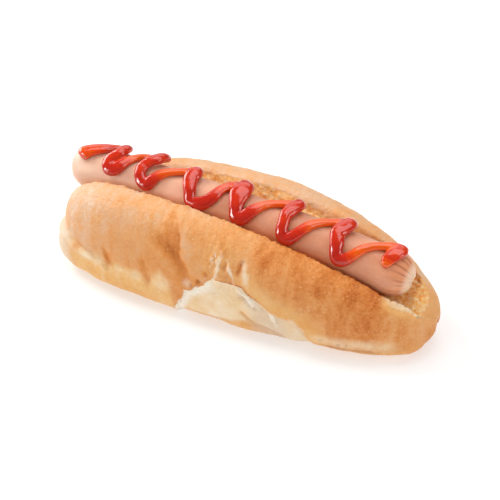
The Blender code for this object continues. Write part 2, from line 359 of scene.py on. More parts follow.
def cut_marks(station, side, width, crest, floor_z):
    """Where a cut face runs, each as distance out and height: slit line, lip, foot and groove."""
    x = roll_x(station)
    other_crest = back_half(station)[1] if side < 0 else front_half(station)[1]
    middle, half_gap, openness = slit(station)
    line = side * middle
    flare = openness * (FRONT_FLARE if side < 0 else BACK_FLARE)
    if side < 0:
        half_gap = half_gap * (1.0 - LIP_LEAN * hump(x - LIP_LEAN_X, LIP_LEAN_REACH))
    crease = CREASE * width * (CREASE_SHUT + (1.0 - CREASE_SHUT) * openness)
    lip = np.minimum(line + np.maximum(half_gap + flare, crease), LIP_LIMIT * width)
    foot = np.minimum(line + np.maximum(half_gap, crease), lip)

    past_tip = smooth_step(POCKET_START_X, POCKET_END_X, x)
    drop = np.minimum(CREST_DROP, CREST_DROP_LIMIT * (crest - floor_z)) * (1.0 - POCKET_RISE * past_tip)
    drop = drop * smooth_step(CREST_DROP_FROM_X, CREST_DROP_FULL_X, x)
    lip_z = crest - openness * drop + (1.0 - openness) * 0.5 * (other_crest - crest)
    shallow = CREASE_DEPTH * (crest - floor_z) * (CREASE_DEPTH_SHUT + (1.0 - CREASE_DEPTH_SHUT) * openness)
    axis_z = sausage_axis(x)[1]
    foot_z = np.minimum(axis_z, lip_z - shallow)
    groove_z = np.minimum(axis_z - SAUSAGE_RADIUS - GAP, foot_z - shallow)
    groove_z = groove_z + past_tip * (foot_z - shallow - groove_z)
    return line, lip, lip_z, foot, foot_z, groove_z


def half_section(station, side, steps):
    """Outward and upward distances of a half section at every station, and its count around."""
    station = station[:, None]
    width, crest = front_half(station) if side < 0 else back_half(station)
    floor_z = underside(station)
    side_z = floor_z + SIDE_LEVEL * (crest - floor_z)
    line, lip, lip_z, foot, foot_z, groove_z = cut_marks(station, side, width, crest, floor_z)
    crest_out = np.maximum(CREST_SHARE * width, lip)

    part = [np.arange(count)[None, :] / count for count in steps]
    part[5] = np.linspace(0.0, 1.0, steps[5] + 1)[None, :]
    low = even_angles(steps[1], LOWER_POWER, 0.5 * FRONT_WIDTH, SIDE_LEVEL * FRONT_HEIGHT)
    high = even_angles(steps[2], UPPER_POWER, (1.0 - SIDE_LEVEL) * FRONT_HEIGHT, 0.5 * FRONT_WIDTH)
    turn = part[5] * math.pi / 2.0
    out = (
        crest_out * part[0],
        crest_out + (width - crest_out) * np.sin(low) ** (2.0 / LOWER_POWER),
        crest_out + (width - crest_out) * np.cos(high) ** (2.0 / UPPER_POWER),
        crest_out + (lip - crest_out) * part[3],
        lip + (foot - lip) * part[4],
        line + (foot - line) * np.cos(turn),
    )
    up = (
        floor_z + 0.0 * part[0],
        side_z - (side_z - floor_z) * np.cos(low) ** (2.0 / LOWER_POWER),
        side_z + (crest - side_z) * np.sin(high) ** (2.0 / UPPER_POWER),
        crest - (crest - lip_z) * part[3] ** 2,
        lip_z + (foot_z - lip_z) * part[4],
        foot_z - (foot_z - groove_z) * np.sin(turn),
    )
    count_round = np.concatenate([number + share[0] for number, share in enumerate(part)])
    return np.concatenate(out, axis=1), np.concatenate(up, axis=1), count_round


def even_stations(count):
    """Stations at even steps along the outline seen from above, so that the round ends are smooth."""
    fine = -np.cos(np.linspace(0.0, math.pi, 8001))
    steps = np.hypot(np.diff(roll_x(fine)), np.diff(front_half(fine)[0]))
    length = np.concatenate(([0.0], np.cumsum(steps)))
    return np.interp(np.linspace(0.0, length[-1], count), length, fine)


stations = even_stations(ROLL_STATIONS)[1:-1]
front_out, front_up, front_around = half_section(stations, -1, FRONT_STEPS)
back_out, back_up, back_around = half_section(stations, 1, BACK_STEPS)
plain_y = ROLL_MIDDLE_Y + np.concatenate((-front_out, back_out[:, -2:0:-1]), axis=1)
plain_z = np.concatenate((front_up, back_up[:, -2:0:-1]), axis=1)
foot_share = smooth_step(FOOT_STATION, -1.0, stations)[:, None] * smooth_step(*FOOT_SIDE_Y, plain_y)
foot_share = foot_share * smooth_step(FOOT_TOP, 0.3 * FOOT_TOP, plain_z)
plain_x = roll_x(stations)[:, None] - FOOT_BULGE * foot_share
roll_points = np.stack((plain_x, plain_y, plain_z), axis=2)
around = np.broadcast_to(np.concatenate((front_around, back_around[-2:0:-1])), plain_x.shape)
is_front = np.broadcast_to(np.arange(around.shape[1]) < front_around.size, around.shape)
print("roll grid:", around.shape, "about", 2 * around.size, "triangles")

# %% [markdown]
# ## Where things are on the front of the roll
#
# The front face is drawn on like a map: X runs along the roll and Z up it, both in millimetres. A wrinkle
# or an edge is a short broken line on that map, and `trail` gives how far every point of the grid is
# from it. From such distances come both the relief and the colours, so they always agree.
#
# A few shares say which rules hold where. `closed` is 1 where the slit has shut at the tapered end, and
# the lips count as outer skin again. `blunt` is 1 on the last rings of the flat end: they cross from the
# front to the back, so there the place across decides which half's colours they take. `blunt_face` is
# the whole lower part of that end, below the mouth of the slit.

# %% The map of the front face
face_x = plain_x / MM
face_y = plain_y / MM
face_z = plain_z / MM
ring_x = roll_x(stations)[:, None] / MM


def trail(*route):
    """Distance in mm from every grid point to a broken line on the map, and the share along it."""
    route = np.array(route, float)
    nearest = np.full(face_x.shape, 1e3)
    share = np.zeros(face_x.shape)
    for number, (start, end) in enumerate(zip(route, route[1:])):
        reach = end - start
        along = ((face_x - start[0]) * reach[0] + (face_z - start[1]) * reach[1]) / reach.dot(reach)
        along = np.clip(along, 0.0, 1.0)
        distance = np.hypot(face_x - start[0] - along * reach[0], face_z - start[1] - along * reach[1])
        closer = distance < nearest
        nearest = np.where(closer, distance, nearest)
        share = np.where(closer, (number + along) / (len(route) - 1), share)
    return nearest, share


def spot(x, z, width):
    """A soft round spot on the map, 1 in its middle."""
    return hump(np.hypot(face_x - x, face_z - z), width)


def spots(*table):
    """Soft round spots added up, each given as x, z, width and strength."""
    return sum(strength * spot(x, z, width) for x, z, width, strength in table)


closed = smooth_step(77.6, 79.4, face_x)
blunt = np.broadcast_to(smooth_step(-75.5, -77.2, ring_x), face_x.shape)
blunt_face = smooth_step(-64.0, -70.0, ring_x) * smooth_step(29.2, 27.0, face_z)
front_share = is_front * (1.0 - blunt) + blunt * smooth_step(4.0, -8.0, face_y)
on_skin = strongest(smooth_step(4.05, 3.95, around), closed, blunt_face)
on_front = on_skin * front_share * np.maximum(smooth_step(0.6, 1.0, around), blunt)
print("map covers x %.0f to %.0f mm" % (face_x.min(), face_x.max()))

# %% [markdown]
# ## The torn patch
#
# This roll was baked touching a neighbour. Where they were pulled apart, the brown crust tore off and left
# a smooth cream patch with a ragged white rim. The patch is everything under one broken line, and its
# signed distance makes both the step down into it and the rim that stands up round it.

# %% Patch and rim
PATCH_EDGE = (
    (-18.5, -2.0), (-17.7, 3.7), (-14.0, 10.9), (-11.8, 15.6), (-8.7, 17.0), (-7.5, 18.7), (-5.2, 19.8),
    (-2.5, 22.5), (0.0, 26.1), (1.4, 25.0), (4.9, 25.2), (9.2, 25.6), (12.7, 25.2), (14.6, 23.3),
    (18.5, 21.6), (22.8, 18.9), (25.7, 17.3), (29.9, 16.0), (34.0, 14.7), (36.9, 12.3), (39.4, 9.1),
    (43.0, 3.0), (44.0, -2.0))
BELOW_ROLL_Z = -9.0
edge_z = np.interp(face_x, *np.transpose(PATCH_EDGE), left=BELOW_ROLL_Z, right=BELOW_ROLL_Z)
inside_patch = trail(*PATCH_EDGE)[0] * np.where(face_z < edge_z, 1.0, -1.0)
torn_side = smooth_step(2.0, -3.0, face_x)
soft_side = smooth_step(14.0, 27.0, face_x)
tear_noise = lumps(roll_points, 2.6 * MM, 31, 3, 0.65)
inside_patch = inside_patch + (0.25 + 0.85 * torn_side) * tear_noise
patch = smooth_step(-0.15, 0.50 + 1.2 * soft_side, inside_patch) * on_front
rim = hump(inside_patch - 0.2, 0.75) * on_front * (0.15 + 0.85 * torn_side)
fringe = smooth_step(5.0, 1.6, inside_patch - 1.2 * tear_noise) * torn_side
fringe = fringe * smooth_step(-0.3, 0.3, inside_patch)
edge_line = hump(inside_patch + 0.2, 0.6) * band(face_x, -1.0, 2.0, 15.0, 26.0)
print("patch covers %.1f %% of the grid" % (100 * patch.mean()))

# %% [markdown]
# ## Torn fibres
#
# Where crust tears off, the crumb under it is drawn out into white fibres. Some lie as ridges on the
# patch's right side, some as strands on the crust above it, with small pits and crumples between; the pits
# and a few holes are made browner as painted shade. Each is again a line or a spot on the map, with its own
# strength and width in mm.

# %% Ridges, strands and pits round the patch
RIDGES = (
    # strength, width and route
    (1.0, 1.15, ((11.0, 24.0), (14.2, 21.8), (16.8, 19.8), (18.8, 17.6))),
    (1.0, 0.85, ((24.2, 17.6), (25.2, 15.6), (26.2, 13.0), (27.4, 10.6))),
    (0.5, 0.70, ((30.0, 16.4), (33.8, 15.4), (37.0, 12.8), (39.4, 9.4))))
STRANDS = (
    (1.0, 0.75, ((2.6, 36.2), (2.3, 33.2), (1.9, 29.6), (0.9, 25.8))),
    (0.9, 0.55, ((5.6, 34.6), (6.6, 32.2), (8.2, 29.4), (9.3, 26.8))),
    (0.75, 1.3, ((11.6, 36.0), (13.2, 32.4), (14.0, 29.2), (15.0, 26.4))),
    (0.5, 0.70, ((-1.2, 35.0), (-0.6, 32.0), (-1.2, 29.5))))
strand_noise = 0.60 * tear_noise


def fibres(table):
    """Raised lines along broken lines on the map, each thinning towards both of its ends."""
    lines = []
    for strength, width, route in table:
        distance, share = trail(*route)
        thinning = np.sin(math.pi * (0.15 + 0.7 * share))
        lines.append(strength * hump(distance + strand_noise, width) * thinning)
    return strongest(*lines) * on_front


ridges = fibres(RIDGES)
strands = fibres(STRANDS)
# A groove along the ledge at the patch's right edge; the grey field paints its shadow.
ledge_line = trail((26.0, 16.6), (28.6, 15.4), (33.1, 14.2), (36.3, 11.6), (38.6, 8.4))[0]
ledge_line = hump(ledge_line + 0.3 * tear_noise, 0.45) * on_front
flecks = smooth_step(0.08, 0.40, lumps(roll_points, 1.5 * MM, 37, 2, 0.7)) * on_front
cluster = flecks * spots((0.8, 34.6, 2.6, 1.0), (-4.4, 24.6, 2.4, 0.6), (7.0, 33.0, 2.0, 0.4))
# Pits are sunk, and made browner as painted shade in them.
pits = hump(trail((11.5, 35.0), (10.9, 33.4), (10.2, 30.8))[0] + 0.5 * strand_noise, 1.0) + spots(
    (-3.1, 26.8, 1.3, 0.9), (-6.1, 22.0, 1.3, 1.0), (-9.2, 19.2, 0.8, 0.8), (4.4, 31.6, 1.2, 0.5),
    (-14.0, 33.5, 1.0, 0.4), (5.4, 27.6, 1.8, 0.3))
pits = pits.clip(0.0, 1.2) * on_front
# Small holes are sunk, and made browner as painted shade in them.
hole = on_front * spots(
    (18.4, 16.9, 0.7, 1.0), (45.0, 8.4, 0.6, 0.8), (51.8, 7.6, 0.5, 0.6), (55.0, 8.0, 0.4, 0.5))
near_tear = spot(3.0, 31.0, 9.5) * on_front
crumple = (1.0 - 2.4 * np.abs(lumps(roll_points * (1.0, 0.6, 0.6), 3.2 * MM, 35, 2))).clip(0.0, 1.0)
inner_fold = trail((12.6, 12.4), (14.6, 10.8), (18.4, 8.2), (21.3, 7.6), (25.5, 6.4), (30.0, 4.6))[0]
below_fold = face_z - np.interp(face_x, (0.0, 14.6, 18.4, 25.5, 34.0), (5.0, 9.0, 8.0, 5.6, 1.0))
below_fold = smooth_step(1.5, -2.0, below_fold)
print(len(RIDGES), "ridges and", len(STRANDS), "strands")

# %% [markdown]
# ## Wrinkles, dents and the edge of the crust
#
# At the blunt end the browned crust ends in a wavy edge, and the pale foot of the roll swells out below
# it as a roll of its own. A deep fold runs down from the lip and turns into a dark diagonal valley, and
# two short dents pull the edge down like dimples in a cushion.

# %% Wrinkles on the front
FOLD_Z = (33.0, 37.8, 42.8, 44.5)
FOLD_X = (-15.0, -15.8, -18.0, -21.1)
DENT_Z = (16.0, 19.0, 22.0, 26.0)
DENT_X = (-47.6, -48.6, -49.6, -51.4)
CRUST_EDGE = (
    (-84.0, 22.6), (-73.9, 21.8), (-70.1, 21.0), (-67.5, 19.6), (-62.8, 18.7), (-55.3, 17.8), (-51.1, 17.0),
    (-48.2, 14.6), (-45.7, 17.6), (-41.2, 18.4), (-37.5, 17.6), (-32.0, 16.2), (-29.3, 12.0), (-27.0, 18.0),
    (-23.0, 21.4), (-19.6, 17.0), (-17.8, 12.0), (-16.5, 3.0))

past_fold = face_x - np.interp(face_z, FOLD_Z, FOLD_X) + 0.4 * tear_noise
fold_reach = smooth_step(27.0, 34.0, face_z) * (1.0 - 0.7 * smooth_step(37.0, 43.0, face_z)) * on_front
fold = fold_reach * np.where(past_fold < 0.0, hump(past_fold, 5.0), hump(past_fold, 0.5))
past_valley, valley_share = trail(
    (-26.6, 37.0), (-22.8, 33.5), (-18.6, 31.2), (-15.4, 28.6), (-12.8, 25.6), (-10.8, 22.0))
valley = hump(past_valley, 2.5) * (0.25 + 0.75 * np.sin(math.pi * valley_share)) * on_front
shoulder = spots((-11.5, 31.5, 3.2, 1.0), (-9.0, 26.6, 2.2, 0.8))
past_dent = face_x - np.interp(face_z, DENT_Z, DENT_X) + 0.3 * tear_noise
dent_left = np.where(past_dent < 0.0, hump(past_dent, 0.8), hump(past_dent, 2.4))
dent_left = dent_left * band(face_z, 15.4, 17.6, 19.5, 27.0)
dent_mid = hump(trail((-31.5, 23.5), (-29.8, 20.0), (-28.6, 15.2))[0], 1.7)
pinch = (hump(trail((-50.2, 15.4), (-50.6, 11.0), (-51.6, 6.0))[0], 1.0)
         + 0.6 * hump(trail((-44.0, 14.6), (-42.6, 8.0))[0], 1.4)
         + 0.4 * hump(trail((-36.4, 14.0), (-35.6, 9.0))[0], 1.6))

crust_edge = np.interp(face_x, *np.transpose(CRUST_EDGE)) + 0.6 * lumps(roll_points, 4 * MM, 41, 2)
under_crust = crust_edge - face_z
left_part = smooth_step(-14.0, -20.0, face_x) * on_front
far_left = smooth_step(-44.0, -56.0, face_x)
edge_softness = 0.6 + 2.2 * (1.0 - far_left)
below_crust = smooth_step(-edge_softness, edge_softness, under_crust) * left_part
tuck = hump(under_crust, 0.9 + 0.8 * (1.0 - far_left)) * (0.15 + 0.85 * far_left) * left_part
ledge = hump(under_crust - 2.6, 2.0) * (0.25 + 0.75 * far_left) * left_part
foot_swell = smooth_step(0.2, 4.0, under_crust) * smooth_step(-60.0, -72.0, face_x) * on_skin
foot_swell *= smooth_step(4.0, -14.0, face_y)
hollow = 1.2 * (hump(face_x - 44.0, 9.0) - hump(face_x + 30.0, 26.0) - hump(face_x - 14.0, 14.0))
hollow -= 1.5 * smooth_step(54.0, 74.0, face_x) + 1.0 * smooth_step(70.0, 78.0, face_x)
hollow = hollow * smooth_step(14.0, 2.0, face_z) * is_front * smooth_step(0.9, 1.1, around)
print("crust edge lies %.0f to %.0f mm up" % (crust_edge.min(), crust_edge.max()))

# %% [markdown]
# ## Cut edges and crumb
#
# The slit was cut after baking. Behind the sausage its face shows as a strip of rough golden crumb, and
# past the sausage's end the loaf opens into crumb with pores, with a torn white edge on the near side.
# `crumb_from` says at which count round the section the crust ends on the back half, and `torn_start`
# at which count the torn edge starts on the front half: it hangs down in a bow.

# %% Where the crumb shows
CRUMB_X = (-90.0, -40.0, -29.0, -12.0, 12.0, 24.0, 34.0, 62.0, 68.0, 73.0, 77.0, 79.5, 84.0)
CRUMB_FROM = (3.95, 3.95, 3.55, 3.45, 3.45, 3.60, 3.90, 3.95, 3.50, 3.10, 3.25, 3.80, 3.95)
CRUMB_FROM_FRONT = 3.96
crumb_noise = lumps(roll_points, 2.0 * MM, 71, 3, 0.65)
crumb_from = np.where(is_front, CRUMB_FROM_FRONT, np.interp(face_x, CRUMB_X, CRUMB_FROM))
crumb_from = crumb_from + 0.05 * crumb_noise
crumb = smooth_step(crumb_from - 0.03, crumb_from + 0.04, around)
crumb = crumb * smooth_step(80.0, 77.0, face_x) * (1.0 - blunt_face)
crust_rim = hump(around - crumb_from + 0.04, 0.06) * ~is_front * (1.0 - blunt)
open_end = band(face_x, 64.0, 70.0, 76.5, 79.5) * smooth_step(3.3, 3.8, around)

rag = lumps(roll_points, 1.5 * MM, 75, 3, 0.7)
torn_reach = band(face_x, 62.0, 67.0, 76.5, 79.5) * is_front
torn_start = 3.00 - 0.17 * np.sin(math.pi * ((face_x - 61.0) / 19.0).clip(0.0, 1.0)) ** 1.5
torn_lip = smooth_step(torn_start - 0.05, torn_start + 0.07, around + 0.05 * rag) * torn_reach
torn_lip = torn_lip * smooth_step(4.2, 3.4, around + 0.5 * rag)
torn_top = torn_lip * smooth_step(2.88, 3.02, around) * hump(face_x - 73.0, 5.0)
torn_glow = hump(around - torn_start + 0.05, 0.09) * torn_reach
print("crumb covers %.1f %% of the grid" % (100 * crumb.mean()))

# %% [markdown]
# ## Lifting the relief
#
# All the fields are added up as a height above the plain surface, in millimetres, and every point moves
# along its own normal, which is the cross product of the grid's two directions. Three places need care:
#
# - in the groove the height fades out, so that the bread never pokes into the sausage;
# - where the slit has shut, both lips move along one shared direction, or they would part or cross;
# - on the rings of the flat end every point moves straight out, because normals there turn too fast.

# %% Relief of the roll
END_RINGS = 9.0
SEAM_COUNT = 3.85


def grid_normals(points):
    """Outward normals of a grid that closes on itself in its second direction."""
    along = np.gradient(points, axis=0)
    round_it = np.roll(points, -1, axis=1) - np.roll(points, 1, axis=1)
    normal = np.cross(along, round_it)
    return normal / np.maximum(np.linalg.norm(normal, axis=2, keepdims=True), 1e-12)


streaks = lumps(roll_points * (1.0, 0.12, 0.12), 2.4 * MM, 51, 3)
blotches = lumps(roll_points * (1.0, 0.45, 0.45), 6.0 * MM, 55, 2)
lip_noise = lumps(roll_points, 1.9 * MM, 81, 3, 0.65)

crust_relief = 0.55 * lumps(roll_points, 24 * MM, 1, 2) + 0.26 * lumps(roll_points, 8 * MM, 4, 2)
crust_relief += 0.10 * lumps(roll_points, 2.6 * MM, 8, 2) + 0.05 * lumps(roll_points, 1.3 * MM, 9, 2, 0.7)
crust_relief += 0.12 * blotches + 0.7 * smooth_step(73.0, 81.0, face_x)
crust_relief += 0.9 * smooth_step(-66.0, -76.0, face_x) * smooth_step(20.0, 27.0, face_z)

wrinkles = (0.04 + 0.05 * left_part) * streaks + 0.7 * shoulder + 0.4 * spot(-22.5, 16.5, 5.0)
wrinkles += -1.0 * fold - 1.8 * valley - 0.75 * dent_left - 0.7 * dent_mid + 0.5 * pinch
wrinkles += patch * (0.40 * lumps(roll_points, 15 * MM, 61, 2) - 0.7 * hump(inner_fold, 0.8))
wrinkles += patch * (0.06 * lumps(roll_points, 2.4 * MM, 63, 3, 0.7) - 0.5 * spot(13.6, 20.4, 1.4))

height = on_skin * crust_relief + on_front * wrinkles
height += -0.95 * tuck + 1.0 * ledge + 1.7 * foot_swell - 1.0 * hollow
height += -0.9 * patch + 0.6 * rim + 0.7 * ridges + 0.6 * strands + 0.35 * cluster
height += -0.6 * pits - 1.2 * hole - 0.35 * edge_line - 0.35 * ledge_line
height += near_tear * (0.55 * crumple ** 2 - 0.3)
height += 1.0 * hump(face_x - 74.0, 3.6) * hump(around - 3.15, 0.45) * is_front
height += crumb * (0.34 * crumb_noise - 0.18 * smooth_step(6.0, 5.0, around))
height += open_end * (0.35 * crumb_noise + 0.25 * rag)
height += 0.14 * crust_rim + torn_lip * (0.30 + 0.35 * rag)
near_lip = band(around, 2.85, 3.1, 4.3, 4.8) * is_front
near_lip = near_lip * smooth_step(79.0, 76.5, face_x) * (1.0 - blunt)
height += near_lip * (0.55 * lip_noise + 0.25 * rag - 0.9 * np.maximum(rag - 0.30, 0.0))

ring = np.arange(stations.size)[:, None]
ends = np.maximum((np.minimum(ring, ring[::-1]) / END_RINGS).clip(0.0, 1.0), blunt)
resting = smooth_step(0.0, 1.0, around) + smooth_step(0.0015, 0.0, plain_z) + blunt
clear = 1.0 - smooth_step(5.0, 5.4, around) * smooth_step(72.0, 68.0, face_x)
clear *= 1.0 - smooth_step(75.5, 77.0, face_x) * (1.0 - closed) * smooth_step(3.9, 4.1, around)
height *= ends * resting.clip(0.0, 1.0) * np.maximum(clear, blunt_face)

facing = grid_normals(roll_points)
front_lip = int(np.argmax(front_around >= SEAM_COUNT))
back_lip = around.shape[1] - int(np.argmax(back_around >= SEAM_COUNT))
seam_facing = facing[:, front_lip:front_lip + 1] + facing[:, back_lip:back_lip + 1]
seam_facing = seam_facing / np.maximum(np.linalg.norm(seam_facing, axis=2, keepdims=True), 1e-6)
facing = facing + (seam_facing - facing) * (closed * smooth_step(3.7, 3.9, around))[..., None]
facing = facing + ((-1.0, 0.0, 0.0) - facing) * blunt[..., None]
lifted = roll_points + facing * (height * MM)[..., None]
lifted[..., 2] = np.maximum(lifted[..., 2], 0.0)
print("relief from %.2f to %.2f mm" % (height.min(), height.max()))

# %% [markdown]
# ## Colour fields
#
# Baking is one number, 0 for dough and 1 for dark brown. The oven browns what stands high and far from
# the neighbour, so this roll is palest at its blunt end and brownest near its tapered end. The number also
# carries painted light: painted shade browns the valley, the fold's shaded side, the dents, the pits and the
# holes, a painted sheen pales the top of the blunt end, and a painted highlight pales the lit wall of the
# fold. Golden skin, cream bread, white torn fibres and open crumb get fields of their own, because they are
# other materials and not lighter crust. The cream field also carries painted highlights on the ledge and
# pinches under the crust's edge and on spots along that band, and painted light that lifts the shaded
# pocket past the sausage. Two more fields shift the tone: `grey` is the cool grey of thin torn skin on the
# patch's right side, together with painted shade below the patch's first ridge, along the ledge line and on
# the foot, and `glow` the warmer orange of the crust between the blunt end and the patch.

# %% How browned each point is
BROWN_SPOTS = (
    # x, z, width and strength
    (41.5, 29.5, 2.8, 0.18), (45.5, 33.0, 3.8, 0.13), (54.0, 28.0, 4.0, 0.12), (31.0, 36.0, 3.0, 0.12),
    (28.0, 29.0, 3.0, 0.06), (60.0, 22.0, 6.0, 0.08), (-22.0, 37.0, 5.0, 0.10), (-30.0, 25.0, 4.0, 0.08),
    (21.0, 38.0, 2.6, 0.10), (-39.0, 22.0, 2.6, 0.08), (36.0, 20.0, 4.0, 0.06), (20.0, 37.0, 7.0, 0.12),
    # The spot at -64.8, 18.0 is painted shade in the pit where the foot meets the lobe; the others are
    # browning.
    (55.0, 19.0, 7.0, 0.07), (60.0, 27.0, 6.0, 0.10), (33.0, 33.0, 4.0, 0.06), (-64.8, 18.0, 2.8, 0.24),
    (60.0, 30.0, 4.0, 0.08))
PALER_SPOTS = (
    (-5.0, 29.0, 6.0, 0.10), (10.0, 30.0, 5.0, 0.08), (30.0, 24.0, 5.0, 0.06), (-3.5, 27.5, 3.4, 0.08),
    (12.0, 33.5, 4.0, 0.08), (-27.0, 20.5, 3.0, 0.08))
SOLE_BAKE = 0.62
bake_front = 0.33 + 0.27 * smooth_step(-62.0, 40.0, face_x) - 0.08 * smooth_step(60.0, 80.0, face_x)
# Painted sheen: the top of the blunt end is made paler.
bake_front -= 0.09 * smooth_step(-35.0, -70.0, face_x) * smooth_step(26.0, 40.0, face_z)
bake_front += 0.08 * band(face_x, -62.0, -50.0, -14.0, -6.0) * smooth_step(41.0, 31.0, face_z)
bake_front += spots(*BROWN_SPOTS) - spots(*PALER_SPOTS)
# Painted shade: the valley, the fold's shaded side, the dents, the pits and the holes are made browner.
bake_front += 0.27 * valley + 0.28 * fold + 0.27 * dent_left + 0.16 * dent_mid
bake_front += 0.60 * pits + 0.6 * edge_line + 0.7 * hole
# Painted highlight on the lit wall just right of the fold.
bake_front -= 0.10 * fold_reach * band(past_fold, 0.0, 0.8, 2.0, 7.0)
bake_front += (0.16 - 0.04 * smooth_step(20.0, 30.0, face_x)) * blotches
bake_front += 0.05 * streaks + 0.05 * lumps(roll_points, 2.0 * MM, 93, 2)
bake_front -= 0.22 * strands + 0.10 * shoulder + 0.14 * near_tear * (crumple - 0.4)

bake_back = 0.29 + 0.07 * lumps(roll_points, 16 * MM, 95, 3) + 0.03 * blotches
bake_back += 0.11 * band(face_x, 20.0, 55.0, 58.0, 72.0) + 0.24 * smooth_step(24.0, 4.0, face_z)
bake_back += 0.20 * smooth_step(73.0, 80.0, face_x) - 0.04 * smooth_step(64.0, 74.0, face_x)

bake = bake_back + (bake_front - bake_back) * front_share
bake = bake - 0.08 * smooth_step(3.3, 3.9, around) * is_front
sole = smooth_step(1.03, 0.97, around) * smooth_step(4.0, 2.0, face_z)
bake = bake + (SOLE_BAKE + 0.10 * blotches - bake) * sole
bake += 0.55 * hump(face_z - 5.0, 1.0) * band(face_x, 38.0, 48.0, 62.0, 70.0) * is_front
print("browning from %.2f to %.2f" % (bake.min(), bake.max()))

# %% Golden skin, cream bread and white fibres
# Painted shade in the pit where the foot meets the lobe.
foot_pit_shade = spot(-64.8, 18.0, 2.8)
gold = strongest(
    0.95 * below_crust,
    0.80 * hump(inside_patch + 2.0, 5.4) * smooth_step(4.0, 16.0, face_x) * on_front,
    0.70 * smooth_step(10.0, 3.0, face_z) * on_front * smooth_step(30.0, 44.0, face_x),
    patch * np.maximum(0.75 * below_fold, 0.7 * hump(inner_fold, 1.3)))
# Less gold in the valley, the left dent, the foot's pit and the pits, as painted shade in these hollows, and
# along the crust's torn edge.
gold = gold * (1.0 - 0.8 * valley) * (1.0 - 0.6 * dent_left) * (1.0 - 0.7 * foot_pit_shade)
gold = gold * (1.0 - 0.8 * edge_line) * (1.0 - 0.8 * pits.clip(0.0, 1.0))
gold = strongest(
    gold,
    0.35 * near_tear,
    0.30 * smooth_step(70.0, 76.0, face_x) * smooth_step(2.2, 3.0, around),
    0.9 * open_end,
    0.8 * torn_glow)

foot_white = smooth_step(-65.0, -73.0, face_x) * smooth_step(-0.3, 1.2, under_crust)
foot_white = foot_white * on_skin * smooth_step(2.0, 7.0, face_z)
# Cream bread and pale crumb, with painted light mixed in: the entries for the ledge under the crust's edge,
# the four spots along the band and the pinch ridges are painted highlights, and open_end's entry is partly
# painted light that lifts the shaded pocket.
pale_and_highlight = strongest(
    0.85 * hump(under_crust - 1.7, 1.6) * far_left * left_part * (1.0 - 0.9 * foot_pit_shade),
    0.8 * spot(-53.5, 16.4, 3.0) * on_front,
    0.55 * spot(-22.5, 16.5, 4.6) * on_front,
    0.62 * spots((-42.6, 16.2, 2.4, 1.0), (-34.6, 15.8, 2.8, 1.0)) * on_front,
    0.62 * hump(face_z - 8.8, 2.8) * band(face_x, 38.0, 44.0, 68.0, 76.0) * on_front,
    0.45 * pinch.clip(0.0, 1.0) * left_part,
    patch * (1.0 - 0.90 * below_fold) * (1.0 - 0.6 * hump(inner_fold, 1.0)),
    0.7 * strands,
    0.85 * torn_lip,
    0.8 * open_end,
    0.6 * foot_white)
white = strongest(
    0.95 * rim * smooth_step(-0.5, 0.2, inside_patch),
    0.95 * fringe * patch,
    0.95 * ridges,
    0.5 * strands,
    0.8 * cluster,
    0.42 * spot(-11.0, 19.8, 2.3) * on_front,
    torn_top * (0.60 + 0.7 * rag).clip(0.0, 0.85),
    0.30 * foot_white)
# Painted shade below the patch's first ridge, along the ledge line and on the foot, plus the cool grey of
# thin torn skin over the patch's right side.
grey = 0.8 * hump(trail((11.6, 21.6), (14.0, 19.8), (16.4, 17.8))[0], 1.1)
grey = grey + 0.55 * smooth_step(13.0, 20.0, face_x) * (1.0 - 0.6 * smooth_step(27.0, 33.0, face_x))
grey = strongest(grey * patch * smooth_step(8.0, 12.0, face_x), 0.9 * ledge_line, 0.5 * foot_white)
glow = band(face_x, -56.0, -44.0, -4.0, 10.0) * band(face_z, 14.0, 20.0, 36.0, 43.0) * on_front
print("gold %.2f, pale %.2f, white %.2f at most" % (gold.max(), pale_and_highlight.max(), white.max()))

# %% [markdown]
# ## Making the mesh
#
# The grid's rows become rings of four-sided faces, and a fan closes each end on a pole point. The colour
# fields ride along as named attributes of the points, which a material can read by name.

# %% Grid to mesh
def add_field(mesh, label, values):
    """One number for each point of the mesh, under a name that a material can read."""
    mesh.attributes.new(label, "FLOAT", "POINT").data.foreach_set("value", values.astype(np.float32))


def tube_mesh(name, points, fields, start_pole, end_pole):
    """A closed mesh from rings of points, with a fan at each end and one attribute for each field."""
    rows, sides = points.shape[:2]
    index = np.arange(rows * sides).reshape(rows, sides)
    right = np.roll(index, -1, axis=1)
    quads = np.stack((index[:-1], right[:-1], right[1:], index[1:]), axis=-1).reshape(-1, 4)
    first, last = rows * sides, rows * sides + 1
    fan_start = np.stack((right[0], index[0], np.full(sides, first)), axis=-1)
    fan_end = np.stack((index[-1], right[-1], np.full(sides, last)), axis=-1)
    corners = np.concatenate((points.reshape(-1, 3), [start_pole, end_pole]))
    mesh = bpy.data.meshes.new(name)
    mesh.from_pydata(corners.tolist(), [], quads.tolist() + fan_start.tolist() + fan_end.tolist())
    for label, values in fields.items():
        values = np.broadcast_to(values, points.shape[:2])
        add_field(mesh, label, np.concatenate((values.ravel(), [values[0].mean(), values[-1].mean()])))
    mesh.shade_smooth()
    mesh.validate()
    piece = bpy.data.objects.new(name, mesh)
    bpy.context.scene.collection.objects.link(piece)
    return piece


roll_fields = {
    "bake": bake, "gold": gold, "pale_and_highlight": pale_and_highlight, "white": white, "crumb": crumb, "grey": grey, "glow": glow}
roll = tube_mesh("baked_roll", lifted, roll_fields, lifted[0].mean(axis=0), lifted[-1].mean(axis=0))
# This grid runs the other way round than the sausage's and the bead's, so its faces are turned about.
roll.data.flip_normals()
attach(roll, "root")
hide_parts("bun")
print("roll mesh:", len(roll.data.polygons), "faces")

# %% [markdown]
# ## Paint and nodes
#
# Every material below is a Principled surface fed by noise. These helpers keep the node code short: one
# adds a node and fills its sockets, one reads an attribute, one makes a colour ramp.

